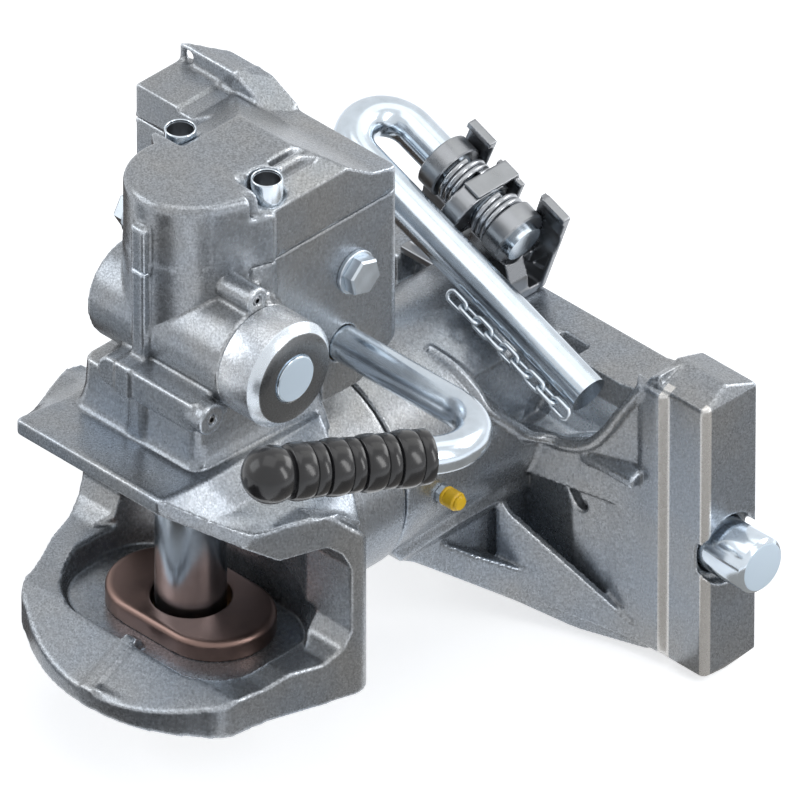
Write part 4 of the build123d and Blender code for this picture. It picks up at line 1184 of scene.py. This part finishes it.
def make_camera():
    towards = Vector((1.0, -1.0, 1.0)).normalized()
    data = bpy.data.cameras.new("photo_camera")
    data.lens = CAMERA_LENS
    data.sensor_width = 36.0
    camera = bpy.data.objects.new("photo_camera", data)
    bpy.context.collection.objects.link(camera)
    camera.location = Vector(CAMERA_AIM) + towards * CAMERA_FAR
    camera.rotation_mode = "QUATERNION"
    camera.rotation_quaternion = (-towards).to_track_quat("-Z", "Y")
    data.clip_end = 100.0
    bpy.context.scene.camera = camera


class COUPLING_OT_finishes(bpy.types.Operator):
    """Make the finishes and put them on the frame's nodes"""

    bl_idname = "coupling.finishes"
    bl_label = "Finishes"

    def execute(self, context):
        make_finishes()
        dress_frame_nodes()
        return {"FINISHED"}


class COUPLING_OT_pin(bpy.types.Operator):
    """Make the coupling pin"""

    bl_idname = "coupling.pin"
    bl_label = "Coupling pin"

    def execute(self, context):
        make_pin()
        return {"FINISHED"}


class COUPLING_OT_cross_cap(bpy.types.Operator):
    """Make the cross cylinder's end cap and axle"""

    bl_idname = "coupling.cross_cap"
    bl_label = "Cross cylinder cap"

    def execute(self, context):
        make_cross_cap()
        return {"FINISHED"}


class COUPLING_OT_locking_pins(bpy.types.Operator):
    """Make the two locking pins"""

    bl_idname = "coupling.locking_pins"
    bl_label = "Locking pins"

    def execute(self, context):
        make_locking_pins()
        return {"FINISHED"}


class COUPLING_OT_fasteners(bpy.types.Operator):
    """Make plugs, cover screws, roll pins, the grease point and the collars"""

    bl_idname = "coupling.fasteners"
    bl_label = "Fasteners"

    def execute(self, context):
        make_plugs()
        make_cover_screws()
        make_roll_pins()
        make_grease_point()
        make_collars()
        return {"FINISHED"}


class COUPLING_OT_lever(bpy.types.Operator):
    """Make the hand lever and its grip"""

    bl_idname = "coupling.lever"
    bl_label = "Hand lever"

    def execute(self, context):
        make_lever()
        make_grip()
        return {"FINISHED"}


class COUPLING_OT_handle(bpy.types.Operator):
    """Make the release handle with its springs and chain"""

    bl_idname = "coupling.handle"
    bl_label = "Release handle"

    def execute(self, context):
        make_handle()
        make_springs()
        make_chain()
        return {"FINISHED"}


class COUPLING_OT_plates(bpy.types.Operator):
    """Make the plates and blocks"""

    bl_idname = "coupling.plates"
    bl_label = "Plates"

    def execute(self, context):
        make_plates()
        return {"FINISHED"}


class COUPLING_OT_castings(bpy.types.Operator):
    """Make the castings' rounded skins"""

    bl_idname = "coupling.castings"
    bl_label = "Castings"

    def execute(self, context):
        make_castings()
        return {"FINISHED"}


class COUPLING_OT_stage(bpy.types.Operator):
    """Make the floor, lights, world and camera"""

    bl_idname = "coupling.stage"
    bl_label = "Stage"

    def execute(self, context):
        make_world()
        make_floor()
        make_camera()
        make_lights()
        context.scene.view_settings.view_transform = "Standard"
        return {"FINISHED"}


PIECE_OPERATORS = (
    COUPLING_OT_finishes,
    COUPLING_OT_pin,
    COUPLING_OT_cross_cap,
    COUPLING_OT_locking_pins,
    COUPLING_OT_fasteners,
    COUPLING_OT_lever,
    COUPLING_OT_handle,
    COUPLING_OT_plates,
    COUPLING_OT_castings,
    COUPLING_OT_stage,
)


class COUPLING_PT_panel(bpy.types.Panel):
    """Lists the coupling's pieces"""

    bl_label = "Jaw coupling"
    bl_idname = "COUPLING_PT_panel"
    bl_space_type = "VIEW_3D"
    bl_region_type = "UI"
    bl_category = "Coupling"

    def draw(self, context):
        column = self.layout.column()
        for operator in PIECE_OPERATORS:
            column.operator(operator.bl_idname)
        for key in ("cast_voxel", "sheet_voxel", "cast_rounding", "round_steps"):
            column.prop(context.scene.coupling_sizes, key)
        for key in ("coat", "steel", "chrome", "dark", "copper", "grip", "cap"):
            column.prop(context.scene.coupling_colours, key)


CLASSES = (COUPLING_PG_sizes, COUPLING_PG_colours, *PIECE_OPERATORS, COUPLING_PT_panel)


def register():
    for cls in CLASSES:
        bpy.utils.register_class(cls)
    bpy.types.Scene.coupling_sizes = bpy.props.PointerProperty(type=COUPLING_PG_sizes)
    bpy.types.Scene.coupling_colours = bpy.props.PointerProperty(type=COUPLING_PG_colours)


def unregister():
    del bpy.types.Scene.coupling_sizes
    del bpy.types.Scene.coupling_colours
    for cls in reversed(CLASSES):
        bpy.utils.unregister_class(cls)


def main():
    register()
    bpy.ops.coupling.finishes()
    bpy.ops.coupling.pin()
    bpy.ops.coupling.cross_cap()
    bpy.ops.coupling.locking_pins()
    bpy.ops.coupling.fasteners()
    bpy.ops.coupling.lever()
    bpy.ops.coupling.handle()
    bpy.ops.coupling.plates()
    bpy.ops.coupling.castings()
    bpy.ops.coupling.stage()


if __name__ == "__main__":
    main()
